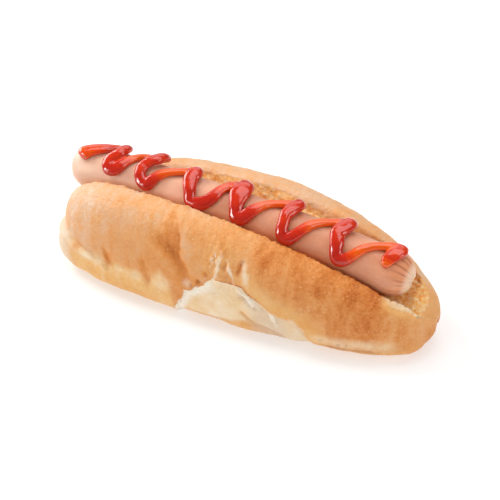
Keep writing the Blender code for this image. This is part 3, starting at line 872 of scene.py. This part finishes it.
# %% Material helpers
def paint(red, green, blue):
    """A display colour, 0 to 255 each, as the linear colour that a shader wants."""
    share = np.array((red, green, blue)) / 255.0
    linear = np.where(share <= 0.04045, share / 12.92, ((share + 0.055) / 1.055) ** 2.4)
    return (*linear.tolist(), 1.0)


class Finish:
    """A material under construction, with short calls for the nodes that the finishes share."""

    def __init__(self, name):
        self.material = bpy.data.materials.new(name)
        self.material.use_nodes = True
        self.tree = self.material.node_tree
        self.shader = self.tree.nodes["Principled BSDF"]
        self.place = self.tree.nodes.new("ShaderNodeTexCoord").outputs["Object"]

    def join(self, source, socket):
        """Links an output to an input, or sets the input if source is a plain value."""
        if isinstance(source, bpy.types.NodeSocket):
            self.tree.links.new(source, socket)
        else:
            socket.default_value = source

    def field(self, name):
        """A named attribute of the mesh."""
        node = self.tree.nodes.new("ShaderNodeAttribute")
        node.attribute_name = name
        return node.outputs["Fac"]

    def noise(self, grain, detail=3.0, roughness=0.55, stretch=(1.0, 1.0, 1.0)):
        """Noise whose lumps are about grain metres across, optionally stretched along an axis."""
        mapping = self.tree.nodes.new("ShaderNodeMapping")
        mapping.inputs["Scale"].default_value = stretch
        self.join(self.place, mapping.inputs["Vector"])
        node = self.tree.nodes.new("ShaderNodeTexNoise")
        node.inputs["Scale"].default_value = 1.0 / grain
        node.inputs["Detail"].default_value = detail
        node.inputs["Roughness"].default_value = roughness
        self.join(mapping.outputs["Vector"], node.inputs["Vector"])
        return node.outputs["Fac"]

    def cells(self, grain):
        """Distance to the nearest of scattered points about grain metres apart, 0 at the point."""
        node = self.tree.nodes.new("ShaderNodeTexVoronoi")
        node.inputs["Scale"].default_value = 1.0 / grain
        self.join(self.place, node.inputs["Vector"])
        return node.outputs["Distance"]

    def math(self, kind, first, second=0.0, third=0.0):
        """One arithmetic step."""
        node = self.tree.nodes.new("ShaderNodeMath")
        node.operation = kind
        for socket, value in zip(node.inputs, (first, second, third)):
            self.join(value, socket)
        return node.outputs["Value"]

    def spread(self, value, low, high, to_low, to_high):
        """Maps low..high onto to_low..to_high, held at both ends."""
        node = self.tree.nodes.new("ShaderNodeMapRange")
        for name, source in (("Value", value), ("From Min", low), ("From Max", high),
                             ("To Min", to_low), ("To Max", to_high)):
            self.join(source, node.inputs[name])
        return node.outputs["Result"]

    def ramp(self, value, stops):
        """A colour ramp from (position, colour) stops."""
        node = self.tree.nodes.new("ShaderNodeValToRGB")
        stop_list = node.color_ramp.elements
        while len(stop_list) < len(stops):
            stop_list.new(0.5)
        for stop, (position, colour) in zip(stop_list, stops):
            stop.position = position
            stop.color = colour
        self.join(value, node.inputs["Fac"])
        return node.outputs["Color"]

    def blend(self, share, first, second):
        """Mixes two colours by share."""
        node = self.tree.nodes.new("ShaderNodeMix")
        node.data_type = "RGBA"
        sockets = [s for s in node.inputs if s.type == "RGBA"]
        self.join(share, node.inputs[0])
        self.join(first, sockets[0])
        self.join(second, sockets[1])
        return [s for s in node.outputs if s.type == "RGBA"][0]

    def bump(self, height, distance, strength=1.0, below=None):
        """Bump from a height field, stacked on another bump if one is given."""
        node = self.tree.nodes.new("ShaderNodeBump")
        node.inputs["Distance"].default_value = distance
        self.join(strength, node.inputs["Strength"])
        self.join(height, node.inputs["Height"])
        if below is not None:
            self.join(below, node.inputs["Normal"])
        return node.outputs["Normal"]


print("helpers ready")

# %% [markdown]
# ## Crust, cream bread and crumb
#
# One material dresses the whole roll. The browning field runs through a ramp from straw to chestnut, with
# three noises added so that no two points match. Golden skin, cream bread and white torn fibres are mixed
# over it, and painted highlights and painted shade come with the cream and grey fields. The cut faces get a
# rough toasted crumb with pores, which is paler and more broken where the slit is torn open past the
# sausage;
# there the paleness is partly painted light on the shaded pocket. Small blisters and pores come last, the
# dark pores as painted shade in tiny holes.

# %% Finish of the roll
def roll_colour(f):
    """The roll's colour: browned crust, then gold, cream, grey, white, crumb, blisters and pores, with
    painted shade, sheen and highlights among them.
    """
    cloud = f.noise(0.010, 4.0, 0.55)
    grain = f.noise(0.0010, 3.0, 0.75)
    fleck = f.noise(0.0024, 3.0, 0.60, (1.0, 0.5, 0.5))
    browned = f.math("MULTIPLY_ADD", f.math("SUBTRACT", cloud, 0.5), 0.30, f.field("bake"))
    browned = f.math("MULTIPLY_ADD", f.math("SUBTRACT", fleck, 0.5), 0.30, browned)
    browned = f.math("MULTIPLY_ADD", f.math("SUBTRACT", grain, 0.5), 0.55, browned)
    crust = f.ramp(browned, (
        (0.05, paint(234, 202, 174)), (0.25, paint(229, 182, 142)), (0.42, paint(232, 168, 110)),
        (0.60, paint(225, 148, 80)), (0.78, paint(207, 118, 50)), (0.97, paint(168, 78, 24))))
    crust = f.blend(f.math("MULTIPLY", f.field("glow"), 0.34), crust, paint(228, 148, 66))
    golden = f.ramp(f.math("MULTIPLY_ADD", grain, 0.5, f.math("MULTIPLY", cloud, 0.5)), (
        (0.32, paint(232, 160, 84)), (0.48, paint(240, 184, 112)), (0.66, paint(244, 204, 146))))
    cream = f.ramp(f.noise(0.009, 5.0, 0.6), (
        (0.34, paint(240, 204, 154)), (0.50, paint(246, 217, 176)), (0.66, paint(249, 228, 200))))
    fibre = f.ramp(grain, ((0.3, paint(242, 220, 190)), (0.6, paint(253, 244, 230))))
    char = f.noise(0.0016, 5.0, 0.72)
    toast = f.ramp(char, (
        (0.30, paint(228, 140, 54)), (0.44, paint(244, 178, 100)), (0.56, paint(250, 202, 140)),
        (0.72, paint(254, 232, 196))))
    fresh = f.ramp(char, (
        (0.34, paint(222, 124, 42)), (0.45, paint(252, 180, 96)), (0.56, paint(254, 208, 142)),
        (0.70, paint(255, 234, 202))))
    toast = f.blend(f.field("pale_and_highlight"), toast, fresh)
    rough_edge = f.math("MULTIPLY", f.math("SUBTRACT", f.noise(0.0028, 4.0, 0.7), 0.5), 0.5)
    gold_share = f.spread(f.math("ADD", f.field("gold"), rough_edge), 0.0, 1.0, 0.0, 1.0)
    pale_share = f.spread(f.math("ADD", f.field("pale_and_highlight"), rough_edge), 0.1, 0.9, 0.0, 1.0)
    crumb_share = f.math("MULTIPLY", f.field("crumb"), f.spread(f.field("white"), 0.4, 0.8, 1.0, 0.0))
    colour = f.blend(gold_share, crust, golden)
    colour = f.blend(pale_share, colour, cream)
    # The grey paint: painted shade, and the cool grey of thin torn skin.
    colour = f.blend(f.math("MULTIPLY", f.field("grey"), 0.85), colour, paint(216, 192, 172))
    colour = f.blend(f.spread(f.field("white"), 0.1, 0.9, 0.0, 1.0), colour, fibre)
    colour = f.blend(crumb_share, colour, toast)
    blisters = f.spread(f.cells(0.0021), 0.10, 0.22, 1.0, 0.0)
    blisters = f.math("MULTIPLY", blisters, f.spread(cloud, 0.42, 0.62, 0.05, 0.38))
    colour = f.blend(blisters, colour, paint(252, 218, 168))
    # Dark pores: painted shade in tiny holes.
    pores = f.spread(f.cells(0.0028), 0.0, 0.16, 1.0, 0.0)
    pores = f.math("MULTIPLY", pores, f.spread(f.noise(0.006, 1.0), 0.50, 0.60, 0.0, 1.0))
    return f.blend(f.math("MULTIPLY", pores, 0.40), colour, paint(160, 88, 36)), fleck


def roll_finish():
    """Bread for the whole roll: its colour, a dull crust, matt crumb, and three layers of fine bumps."""
    f = Finish("baked_crust")
    colour, fleck = roll_colour(f)
    f.join(colour, f.shader.inputs["Base Color"])
    matt = f.math("ADD", f.field("crumb"), f.field("pale_and_highlight"))
    f.join(f.spread(matt, 0.0, 1.0, 0.46, 0.75), f.shader.inputs["Roughness"])
    f.shader.inputs["Specular IOR Level"].default_value = 0.22
    f.shader.inputs["Subsurface Weight"].default_value = 0.06
    f.shader.inputs["Subsurface Radius"].default_value = (1.0, 0.5, 0.25)
    f.shader.inputs["Subsurface Scale"].default_value = 0.0012
    skin = f.bump(f.noise(0.0012, 4.0, 0.70), 0.0009, 0.60)
    skin = f.bump(fleck, 0.0006, 0.35, skin)
    crumbly = f.bump(f.noise(0.0013, 4.0, 0.70), 0.0006, f.field("crumb"), skin)
    f.join(crumbly, f.shader.inputs["Normal"])
    return f.material


roll.data.materials.append(roll_finish())
print("roll is finished with", len(roll_fields), "fields")

# %% [markdown]
# ## The sausage
#
# A sausage is a tube of fine meat in a tight skin. One end is smooth and round. At the other the skin was
# gathered and tied, so creases run towards a small pale knot. Each crease is a sharp valley of its own
# length, made from a saw of the angle round the sausage, which wanders a little.

# %% Grid of the sausage
SAUSAGE_RINGS = 360
SAUSAGE_SIDES = 150
FULL_END_POWER = 0.94
TIP_TURN = (-0.0012, -0.0030, 0.0024)
TIP_TURN_FROM = (0.07, 0.10)


def sausage_frame(distance):
    """Point on the sausage's middle line, and its back and top directions, at a distance along X."""
    x = SAUSAGE_START[0] + distance
    y, z = sausage_axis(x)
    nudge = 0.0005
    y_next, z_next = sausage_axis(x + nudge)
    along = np.stack((np.full_like(x, nudge), y_next - y, z_next - z), axis=-1)
    along = along / np.linalg.norm(along, axis=-1, keepdims=True)
    back = np.cross((0.0, 0.0, 1.0), along)
    back = back / np.linalg.norm(back, axis=-1, keepdims=True)
    return np.stack((x, y, z), axis=-1), back, np.cross(along, back)


def sausage_profile(count):
    """Even steps along half the sausage's outline: a round end, a straight run, a longer round end."""
    length = SAUSAGE_END[0] - SAUSAGE_START[0]
    turn = np.linspace(0.0, math.pi / 2.0, 400)
    turn_back = turn[::-1]
    left = LEFT_CAP * (1.0 - np.cos(turn))
    right = length - RIGHT_CAP * (1.0 - np.cos(turn_back))
    distance = np.concatenate((left, right))
    radius = SAUSAGE_RADIUS * np.concatenate((np.sin(turn), np.sin(turn_back) ** FULL_END_POWER))
    run = np.concatenate(([0.0], np.cumsum(np.hypot(np.diff(distance), np.diff(radius)))))
    even = np.linspace(0.0, run[-1], count + 2)[1:-1]
    return np.interp(even, run, distance), np.interp(even, run, radius)


link_distance, link_radius = sausage_profile(SAUSAGE_RINGS)
link_angle = np.linspace(0.0, 2.0 * math.pi, SAUSAGE_SIDES, endpoint=False)
link_centre, link_back, link_top = sausage_frame(link_distance)
tip_turn = (1.0 - link_radius / SAUSAGE_RADIUS) ** 1.5 * smooth_step(*TIP_TURN_FROM, link_distance)
link_centre = link_centre + tip_turn[:, None] * np.array(TIP_TURN)
link_ring = (np.cos(link_angle)[None, :, None] * link_back[:, None, :]
             + np.sin(link_angle)[None, :, None] * link_top[:, None, :])
link_plain = link_centre[:, None, :] + link_radius[:, None, None] * link_ring
print("sausage is %.0f mm long" % ((link_distance[-1] - link_distance[0]) / MM))

# %% Creases, skin and knot
CREASES = 19
CREASE_REACH = 0.0125
CREASE_LIFT = 0.0008
KNOT_REACH = 0.0014
KNOT_LENGTH = 0.0007
COARSE_RIPPLE = 0.00010
FINE_RIPPLE = 0.00003

compass = np.stack((np.cos(link_angle), np.sin(link_angle), 0.0 * link_angle), axis=-1)
crease_phase = CREASES * link_angle / (2.0 * math.pi) + 0.55 * lumps(compass, 0.5, 11, 2)
crease_shape = 1.0 - np.abs(np.sin(math.pi * crease_phase))
crease_reach = CREASE_REACH * (1.0 + 0.55 * lumps(compass, 0.35, 17, 2))
to_end = (SAUSAGE_END[0] - SAUSAGE_START[0]) - link_distance[:, None]
gathered = smooth_step(crease_reach, 0.15 * crease_reach, to_end)
gathered = gathered * smooth_step(0.0, 0.0012, link_radius)[:, None]
creases = gathered * crease_shape ** 2.2
ripples = COARSE_RIPPLE * lumps(link_plain, 9 * MM, 21, 2) + FINE_RIPPLE * lumps(link_plain, 2.2 * MM, 25, 2)
link_lift = ripples * smooth_step(0.0, 0.004, link_radius)[:, None] - CREASE_LIFT * creases
link_points = link_plain + link_lift[..., None] * link_ring
knot_push = KNOT_LENGTH * (0.55 + 0.5 * lumps(compass, 0.6, 29, 2))
link_points[..., 0] += hump(to_end, KNOT_REACH) * knot_push
link_fields = {
    # The creases' shape, used for their relief and for painted shade in them.
    "crease": creases,
    "knot": smooth_step(0.0046, 0.0012, to_end) * (0.6 + 0.4 * crease_shape),
    "warm": gathered,
    # A painted sheen, paler towards the smooth end.
    "painted_sheen": smooth_step(0.085, 0.012, link_distance)[:, None]}
sausage = tube_mesh(
    "meat_sausage", link_points, link_fields, link_points[0].mean(axis=0), link_points[-1].mean(axis=0))
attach(sausage, "root")
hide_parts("sausage")
print("sausage mesh:", len(sausage.data.polygons), "faces")

# %% [markdown]
# ## Skin of the sausage
#
# Cooked sausage skin lets light a little way in, which softens its shading and warms its edges. The
# pink-tan colour drifts gently, and a painted sheen makes it paler towards the smooth end. Fine specks
# show the meat, the gathered skin and the knot have tones of their own, and the creases get painted shade.

# %% Finish of the sausage
def sausage_finish():
    """Pink-tan skin with fine specks, a painted sheen at one end, warm and creased towards a whitish knot,
    with painted shade in the creases.
    """
    f = Finish("sausage_skin_finish")
    drift = f.noise(0.014, 3.0, 0.5)
    speck = f.noise(0.0011, 2.0, 0.6)
    tone = f.math("MULTIPLY_ADD", f.math("SUBTRACT", speck, 0.5), 0.35, drift)
    skin = f.ramp(tone, (
        (0.30, paint(217, 144, 108)), (0.50, paint(224, 156, 120)), (0.70, paint(231, 170, 138))))
    # Painted sheen: paler towards the smooth end.
    skin = f.blend(f.math("MULTIPLY", f.field("painted_sheen"), 0.85), skin, paint(240, 198, 170))
    skin = f.blend(f.math("MULTIPLY", f.field("warm"), 0.5), skin, paint(228, 146, 86))
    # Painted shade in the creases of the gathered skin.
    skin = f.blend(f.math("MULTIPLY", f.field("crease"), 0.9), skin, paint(168, 82, 40))
    skin = f.blend(f.spread(f.field("knot"), 0.1, 0.9, 0.0, 0.92), skin, paint(251, 224, 196))
    f.join(skin, f.shader.inputs["Base Color"])
    f.join(f.spread(drift, 0.35, 0.65, 0.34, 0.44), f.shader.inputs["Roughness"])
    f.shader.inputs["Specular IOR Level"].default_value = 0.4
    f.shader.inputs["Subsurface Weight"].default_value = 0.25
    f.shader.inputs["Subsurface Radius"].default_value = (1.0, 0.45, 0.28)
    f.shader.inputs["Subsurface Scale"].default_value = 0.002
    f.join(f.bump(f.noise(0.0016, 3.0, 0.6), 0.00012, 0.5), f.shader.inputs["Normal"])
    return f.material


sausage.data.materials.append(sausage_finish())
print("sausage is finished")

# %% [markdown]
# ## The bead of ketchup
#
# Ketchup leaves the bottle as a round bead. The hand moves up and down across the sausage, so the bead is
# thick and lies over itself at each turn and is drawn thin on the quick way back up. Its route is a list
# of turning points on the sausage's skin: distance along it in mm, degrees round it from the top, and
# the width, height and lift of the bead there, in mm. Only these are chosen; the rest is a smooth curve.

# %% Route of the bead
BEAD_ROUTE = (
    (7.6, -38, 6.2, 3.0, 0), (8.6, -25, 6.8, 3.2, 0), (11.0, -12, 6.4, 3.1, 0), (14.6, 3, 5.4, 2.8, 0),
    (18.3, 25, 4.6, 2.7, 0.1), (21, 35, 4.4, 2.8, 0.3), (23.3, 28, 4.8, 3.1, 1.0),
    (24, 13, 5.2, 3.3, 1.2), (23.7, -2, 5.2, 3.4, 1.2), (21.9, -14, 5.3, 3.2, 0.5),
    (21.0, -23, 5.3, 3.3, 0.1), (20.9, -35, 5.3, 3.3, 0), (22.2, -43, 6, 3.4, 0),
    (24.4, -42, 5.8, 3.3, 0.1), (26, -32, 5.3, 3.2, 0.1), (27.6, -15, 4.6, 2.9, 0),
    (29.6, 2, 3.9, 2.5, 0), (31.8, 24, 3.7, 2.5, 0), (35, 39, 4.1, 2.7, 0.2), (38.6, 44, 4.6, 3.2, 1.1),
    (40.2, 33, 5.2, 3.4, 1.4), (39.7, 12, 5.6, 3.5, 1.5), (37.7, 0, 5.6, 3.5, 1.2),
    (35.8, -13, 5.3, 3.2, 0.3), (35.6, -30, 5.2, 3.3, 0), (36.9, -45, 5.4, 3.3, 0),
    (38.6, -52, 5.4, 3.2, 0), (40.4, -53, 5.8, 3.3, 0.1), (42, -40, 5.2, 3.1, 0.2),
    (44, -23, 4.4, 2.8, 0), (47, -8, 3.8, 2.5, 0), (50.6, 4, 3.8, 2.5, 0.1), (54, 13, 4.4, 2.9, 0.4),
    (56.2, 16, 5.8, 3.5, 0.9), (56.9, 5, 6.8, 3.8, 0.9), (56.9, -9, 6.6, 3.4, 0.5),
    (57.7, -24, 5.9, 3.3, 0.1), (59, -40, 5.1, 3.2, 0), (59.8, -54, 5.2, 3.2, 0), (61.8, -61, 6, 3.3, 0),
    (64.4, -58, 5.9, 3.3, 0.1), (67.2, -47, 5.7, 3.2, 0.1), (69, -30, 5.3, 3, 0),
    (70.2, -11, 4.4, 2.8, 0), (72.2, 9, 4.4, 2.8, 0.1), (74.8, 28, 4.7, 3, 0.5),
    (76.6, 33, 6.2, 3.6, 1.2), (78.2, 18, 7.8, 3.9, 1.1), (78.2, -3, 8.6, 3.6, 0.6),
    (78.6, -20, 7.6, 3.4, 0.2), (79.2, -37, 6, 3.3, 0), (79.8, -50, 5.3, 3.2, 0), (81, -58, 6.1, 3.4, 0),
    (83.4, -56, 5.8, 3.3, 0.1), (85.2, -42, 5.3, 3.1, 0.2), (87.2, -25, 4.5, 2.9, 0),
    (89.5, -9, 3.9, 2.6, 0), (92.1, 5, 3.8, 2.5, 0), (95.1, 15, 3.9, 2.6, 0.1), (98.2, 29, 4.5, 3, 0.4),
    (99.6, 33, 5.2, 3.5, 1), (101, 20, 6.2, 3.7, 1.1), (99.9, 0, 6.2, 3.4, 0.6),
    (99.1, -16, 5.2, 3.3, 0.2), (99.5, -33, 4.8, 3.2, 0), (99.9, -51, 5, 3.2, 0), (100.9, -64, 5, 3.1, 0),
    (103.2, -65, 5.5, 3.2, 0.1), (105.6, -51, 4.9, 3.1, 0.2), (107.7, -33, 4.5, 2.9, 0),
    (109.8, -16, 4.1, 2.7, 0), (112.6, 0, 3.8, 2.5, 0), (116, 15, 3.9, 2.6, 0.1),
    (119.4, 30, 4.8, 3, 0.4), (121.1, 33, 5.6, 3.6, 1.1), (122.4, 20, 6.6, 3.8, 1.1),
    (121.3, 2, 6.9, 3.5, 0.6), (120.6, -15, 6.2, 3.4, 0.3), (121.8, -34, 5.6, 3.3, 0),
    (122.6, -51, 5.2, 3.2, 0), (124, -65, 5.8, 3.3, 0), (126.2, -64, 5.4, 3.2, 0.1),
    (128.4, -53, 4.5, 3.1, 0.2), (130.4, -37, 4.1, 2.9, 0), (132.2, -23, 3.9, 2.7, 0),
    (134.9, -9, 3.5, 2.5, 0), (138.2, 2, 3.9, 2.6, 0.1), (141.8, 11, 4.4, 2.8, 0.4),
    (144.7, 10, 5.6, 3, 0.5), (144.2, 0, 6.4, 2.9, 0.3), (142.8, -12, 6.4, 2.5, 0.1),
    (142.0, -25, 5.2, 2.0, 0), (142.0, -37, 3.8, 1.6, 0), (142.4, -48, 2.2, 1, 0))
BEAD_STEP = 0.0004
BEAD_SIDES = 28


def smooth_route(points, step):
    """Points at even steps along the Catmull-Rom curve through the given points."""
    padded = np.concatenate((2.0 * points[:1] - points[1:2], points, 2.0 * points[-1:] - points[-2:-1]))
    share = np.linspace(0.0, 1.0, 40, endpoint=False)[None, :, None]
    before, start, end, after = (padded[i:len(padded) - 3 + i, None, :] for i in range(4))
    curve = start + 0.5 * share * (end - before + share * (
        2.0 * before - 5.0 * start + 4.0 * end - after + share * (3.0 * (start - end) + after - before)))
    curve = np.concatenate((curve.reshape(-1, points.shape[1]), points[-1:]))
    arc = curve[:, :2] * (1.0, math.radians(SAUSAGE_RADIUS))
    length = np.concatenate(([0.0], np.cumsum(np.linalg.norm(np.diff(arc, axis=0), axis=1))))
    even = np.arange(0.0, length[-1], step)
    return np.stack([np.interp(even, length, column) for column in curve.T], axis=1), even


bead_points = np.array(BEAD_ROUTE) * (MM, 1.0, MM, MM, MM)
bead, bead_length = smooth_route(bead_points, BEAD_STEP)
print("bead is %.0f mm long" % (bead_length[-1] / MM))

# %% [markdown]
# ## From bead to sauce
#
# The bead is swept as rings along its route, standing on the skin and sunk into it a little. Where it
# lies over itself the strands must melt together, as sauce does. So the swept tube is rebuilt from small
# voxels, which joins what touches, and is then smoothed, which rounds the seams between strands.

# %% Sweep and melt the bead
BEAD_SINK = 0.0004
BEAD_ROUND = 0.0022
BEAD_UNSTEADY = 0.09
MELT_SIZE = 0.00027
MELT_ROUNDS = 7

bead_centre, bead_back, bead_top = sausage_frame(bead[:, 0])
bead_angle = np.radians(bead[:, 1:2])
outward = np.sin(bead_angle) * bead_back + np.cos(bead_angle) * bead_top
bead_path = bead_centre + (SAUSAGE_RADIUS - BEAD_SINK + bead[:, 4:5]) * outward
along = np.gradient(bead_path, axis=0)
along -= np.sum(along * outward, axis=1, keepdims=True) * outward
along /= np.linalg.norm(along, axis=1, keepdims=True)
across = np.cross(outward, along)
from_end = np.minimum(bead_length, bead_length[-1] - bead_length) / BEAD_ROUND
taper = np.sqrt(1.0 - (1.0 - np.clip(from_end, 0.0, 1.0)) ** 2)[1:-1]
unsteady = 1.0 + BEAD_UNSTEADY * lumps(bead_path, 7 * MM, 33, 2)[1:-1]
bead_turn = np.linspace(0.0, 2.0 * math.pi, BEAD_SIDES, endpoint=False)
half_wide = 0.5 * bead[1:-1, 2] * taper * unsteady
half_high = 0.5 * (bead[1:-1, 3] + BEAD_SINK) * taper * unsteady
bead_rings = (bead_path[1:-1, None, :]
              + (half_wide[:, None] * np.cos(bead_turn))[..., None] * across[1:-1, None, :]
              + (half_high[:, None] * (1.0 + np.sin(bead_turn)))[..., None] * outward[1:-1, None, :])
ketchup = tube_mesh("ketchup_bead", bead_rings, {}, bead_path[0], bead_path[-1])
melt = ketchup.modifiers.new("melt", "REMESH")
melt.mode = "VOXEL"
melt.voxel_size = MELT_SIZE
melt.use_smooth_shade = True
soften = ketchup.modifiers.new("soften", "SMOOTH")
soften.factor = 0.5
soften.iterations = MELT_ROUNDS


def apply_modifiers(piece):
    """Replaces the piece's mesh by the one that its modifiers make of it."""
    finished = bpy.data.meshes.new_from_object(piece.evaluated_get(bpy.context.evaluated_depsgraph_get()))
    piece.modifiers.clear()
    piece.data = finished
    return finished


sauce_mesh = apply_modifiers(ketchup)
sauce_mesh.shade_smooth()
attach(ketchup, "root")
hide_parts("ketchup")
print("sauce mesh:", len(sauce_mesh.polygons), "faces")

# %% [markdown]
# ## Thick and thin sauce
#
# Thin sauce lets light through and looks orange, and thick sauce is a full red. The melted mesh has lost
# the bead's widths, so each of its points asks the nearest point of the route. `depth` is the height over
# the sausage. `slim` is high on the strands drawn thin, on the first stretch and on the last drip, and
# lowest in the wide turns on the near side, where the sauce has run together.

# %% How thick the sauce is
ROUTE_SKIP = 3
BLOCK = 4000


def nearest_number(places, route):
    """For each place the number of the nearest point of the route, in blocks that fit in memory."""
    numbers = np.empty(len(places), int)
    for first in range(0, len(places), BLOCK):
        gap = np.linalg.norm(places[first:first + BLOCK, None, :] - route[None, :, :], axis=2)
        numbers[first:first + BLOCK] = gap.argmin(axis=1)
    return numbers


sauce = np.empty(len(sauce_mesh.vertices) * 3, dtype=np.float32)
sauce_mesh.vertices.foreach_get("co", sauce)
sauce = sauce.reshape(-1, 3).astype(float)
axis_y, axis_z = sausage_axis(sauce[:, 0])
depth = (np.hypot(sauce[:, 1] - axis_y, sauce[:, 2] - axis_z) - SAUSAGE_RADIUS) / MM
nearest_bead = bead[ROUTE_SKIP * nearest_number(sauce, bead_path[::ROUTE_SKIP])]
bead_x = nearest_bead[:, 0] / MM
bead_side = nearest_bead[:, 1]
bead_width = nearest_bead[:, 2] / MM
slim = 0.4 + 0.6 * smooth_step(5.2, 3.8, bead_width)
slim -= 0.4 * smooth_step(-25.0, -45.0, bead_side) * smooth_step(4.2, 5.2, bead_width)
slim += 0.4 * smooth_step(20.0, 8.0, bead_x) + 0.15 * smooth_step(140.5, 143.0, bead_x)
add_field(sauce_mesh, "depth", depth)
add_field(sauce_mesh, "slim", slim)
print("sauce is up to %.1f mm thick" % depth.max())

# %% [markdown]
# ## Wet red sauce
#
# Ketchup is thick but lets some light through: thin strands glow orange and deep ones are a full red.
# Its surface is wet, so it is nearly mirror smooth over a body that scatters light.

# %% Finish of the ketchup
def ketchup_finish():
    """Glossy red sauce, more orange where it is thin, with painted shade at its foot and faint specks of
    pulp.
    """
    f = Finish("wet_ketchup")
    pulp = f.noise(0.0022, 3.0, 0.55)
    thin = f.math("MULTIPLY_ADD", f.math("SUBTRACT", pulp, 0.5), 0.7, f.field("slim"))
    colour = f.ramp(thin, (
        (0.0, paint(190, 34, 16)), (0.40, paint(206, 46, 16)), (0.70, paint(222, 66, 12)),
        (0.95, paint(234, 92, 10))))
    # Painted shade at the foot of the bead, where it meets the skin.
    sauce_foot_shade = f.spread(f.field("depth"), 0.0, 1.1, 0.75, 0.0)
    colour = f.blend(sauce_foot_shade, colour, paint(160, 20, 8))
    f.join(colour, f.shader.inputs["Base Color"])
    f.join(f.spread(pulp, 0.3, 0.7, 0.09, 0.16), f.shader.inputs["Roughness"])
    f.shader.inputs["Specular IOR Level"].default_value = 0.55
    f.shader.inputs["Subsurface Weight"].default_value = 0.30
    f.shader.inputs["Subsurface Radius"].default_value = (1.0, 0.30, 0.08)
    f.shader.inputs["Subsurface Scale"].default_value = 0.0012
    f.shader.inputs["Coat Weight"].default_value = 0.25
    f.shader.inputs["Coat Roughness"].default_value = 0.04
    f.join(f.bump(f.noise(0.0030, 2.0, 0.5), 0.0004, 0.5), f.shader.inputs["Normal"])
    return f.material


sauce_mesh.materials.clear()
sauce_mesh.materials.append(ketchup_finish())
print("ketchup is finished")
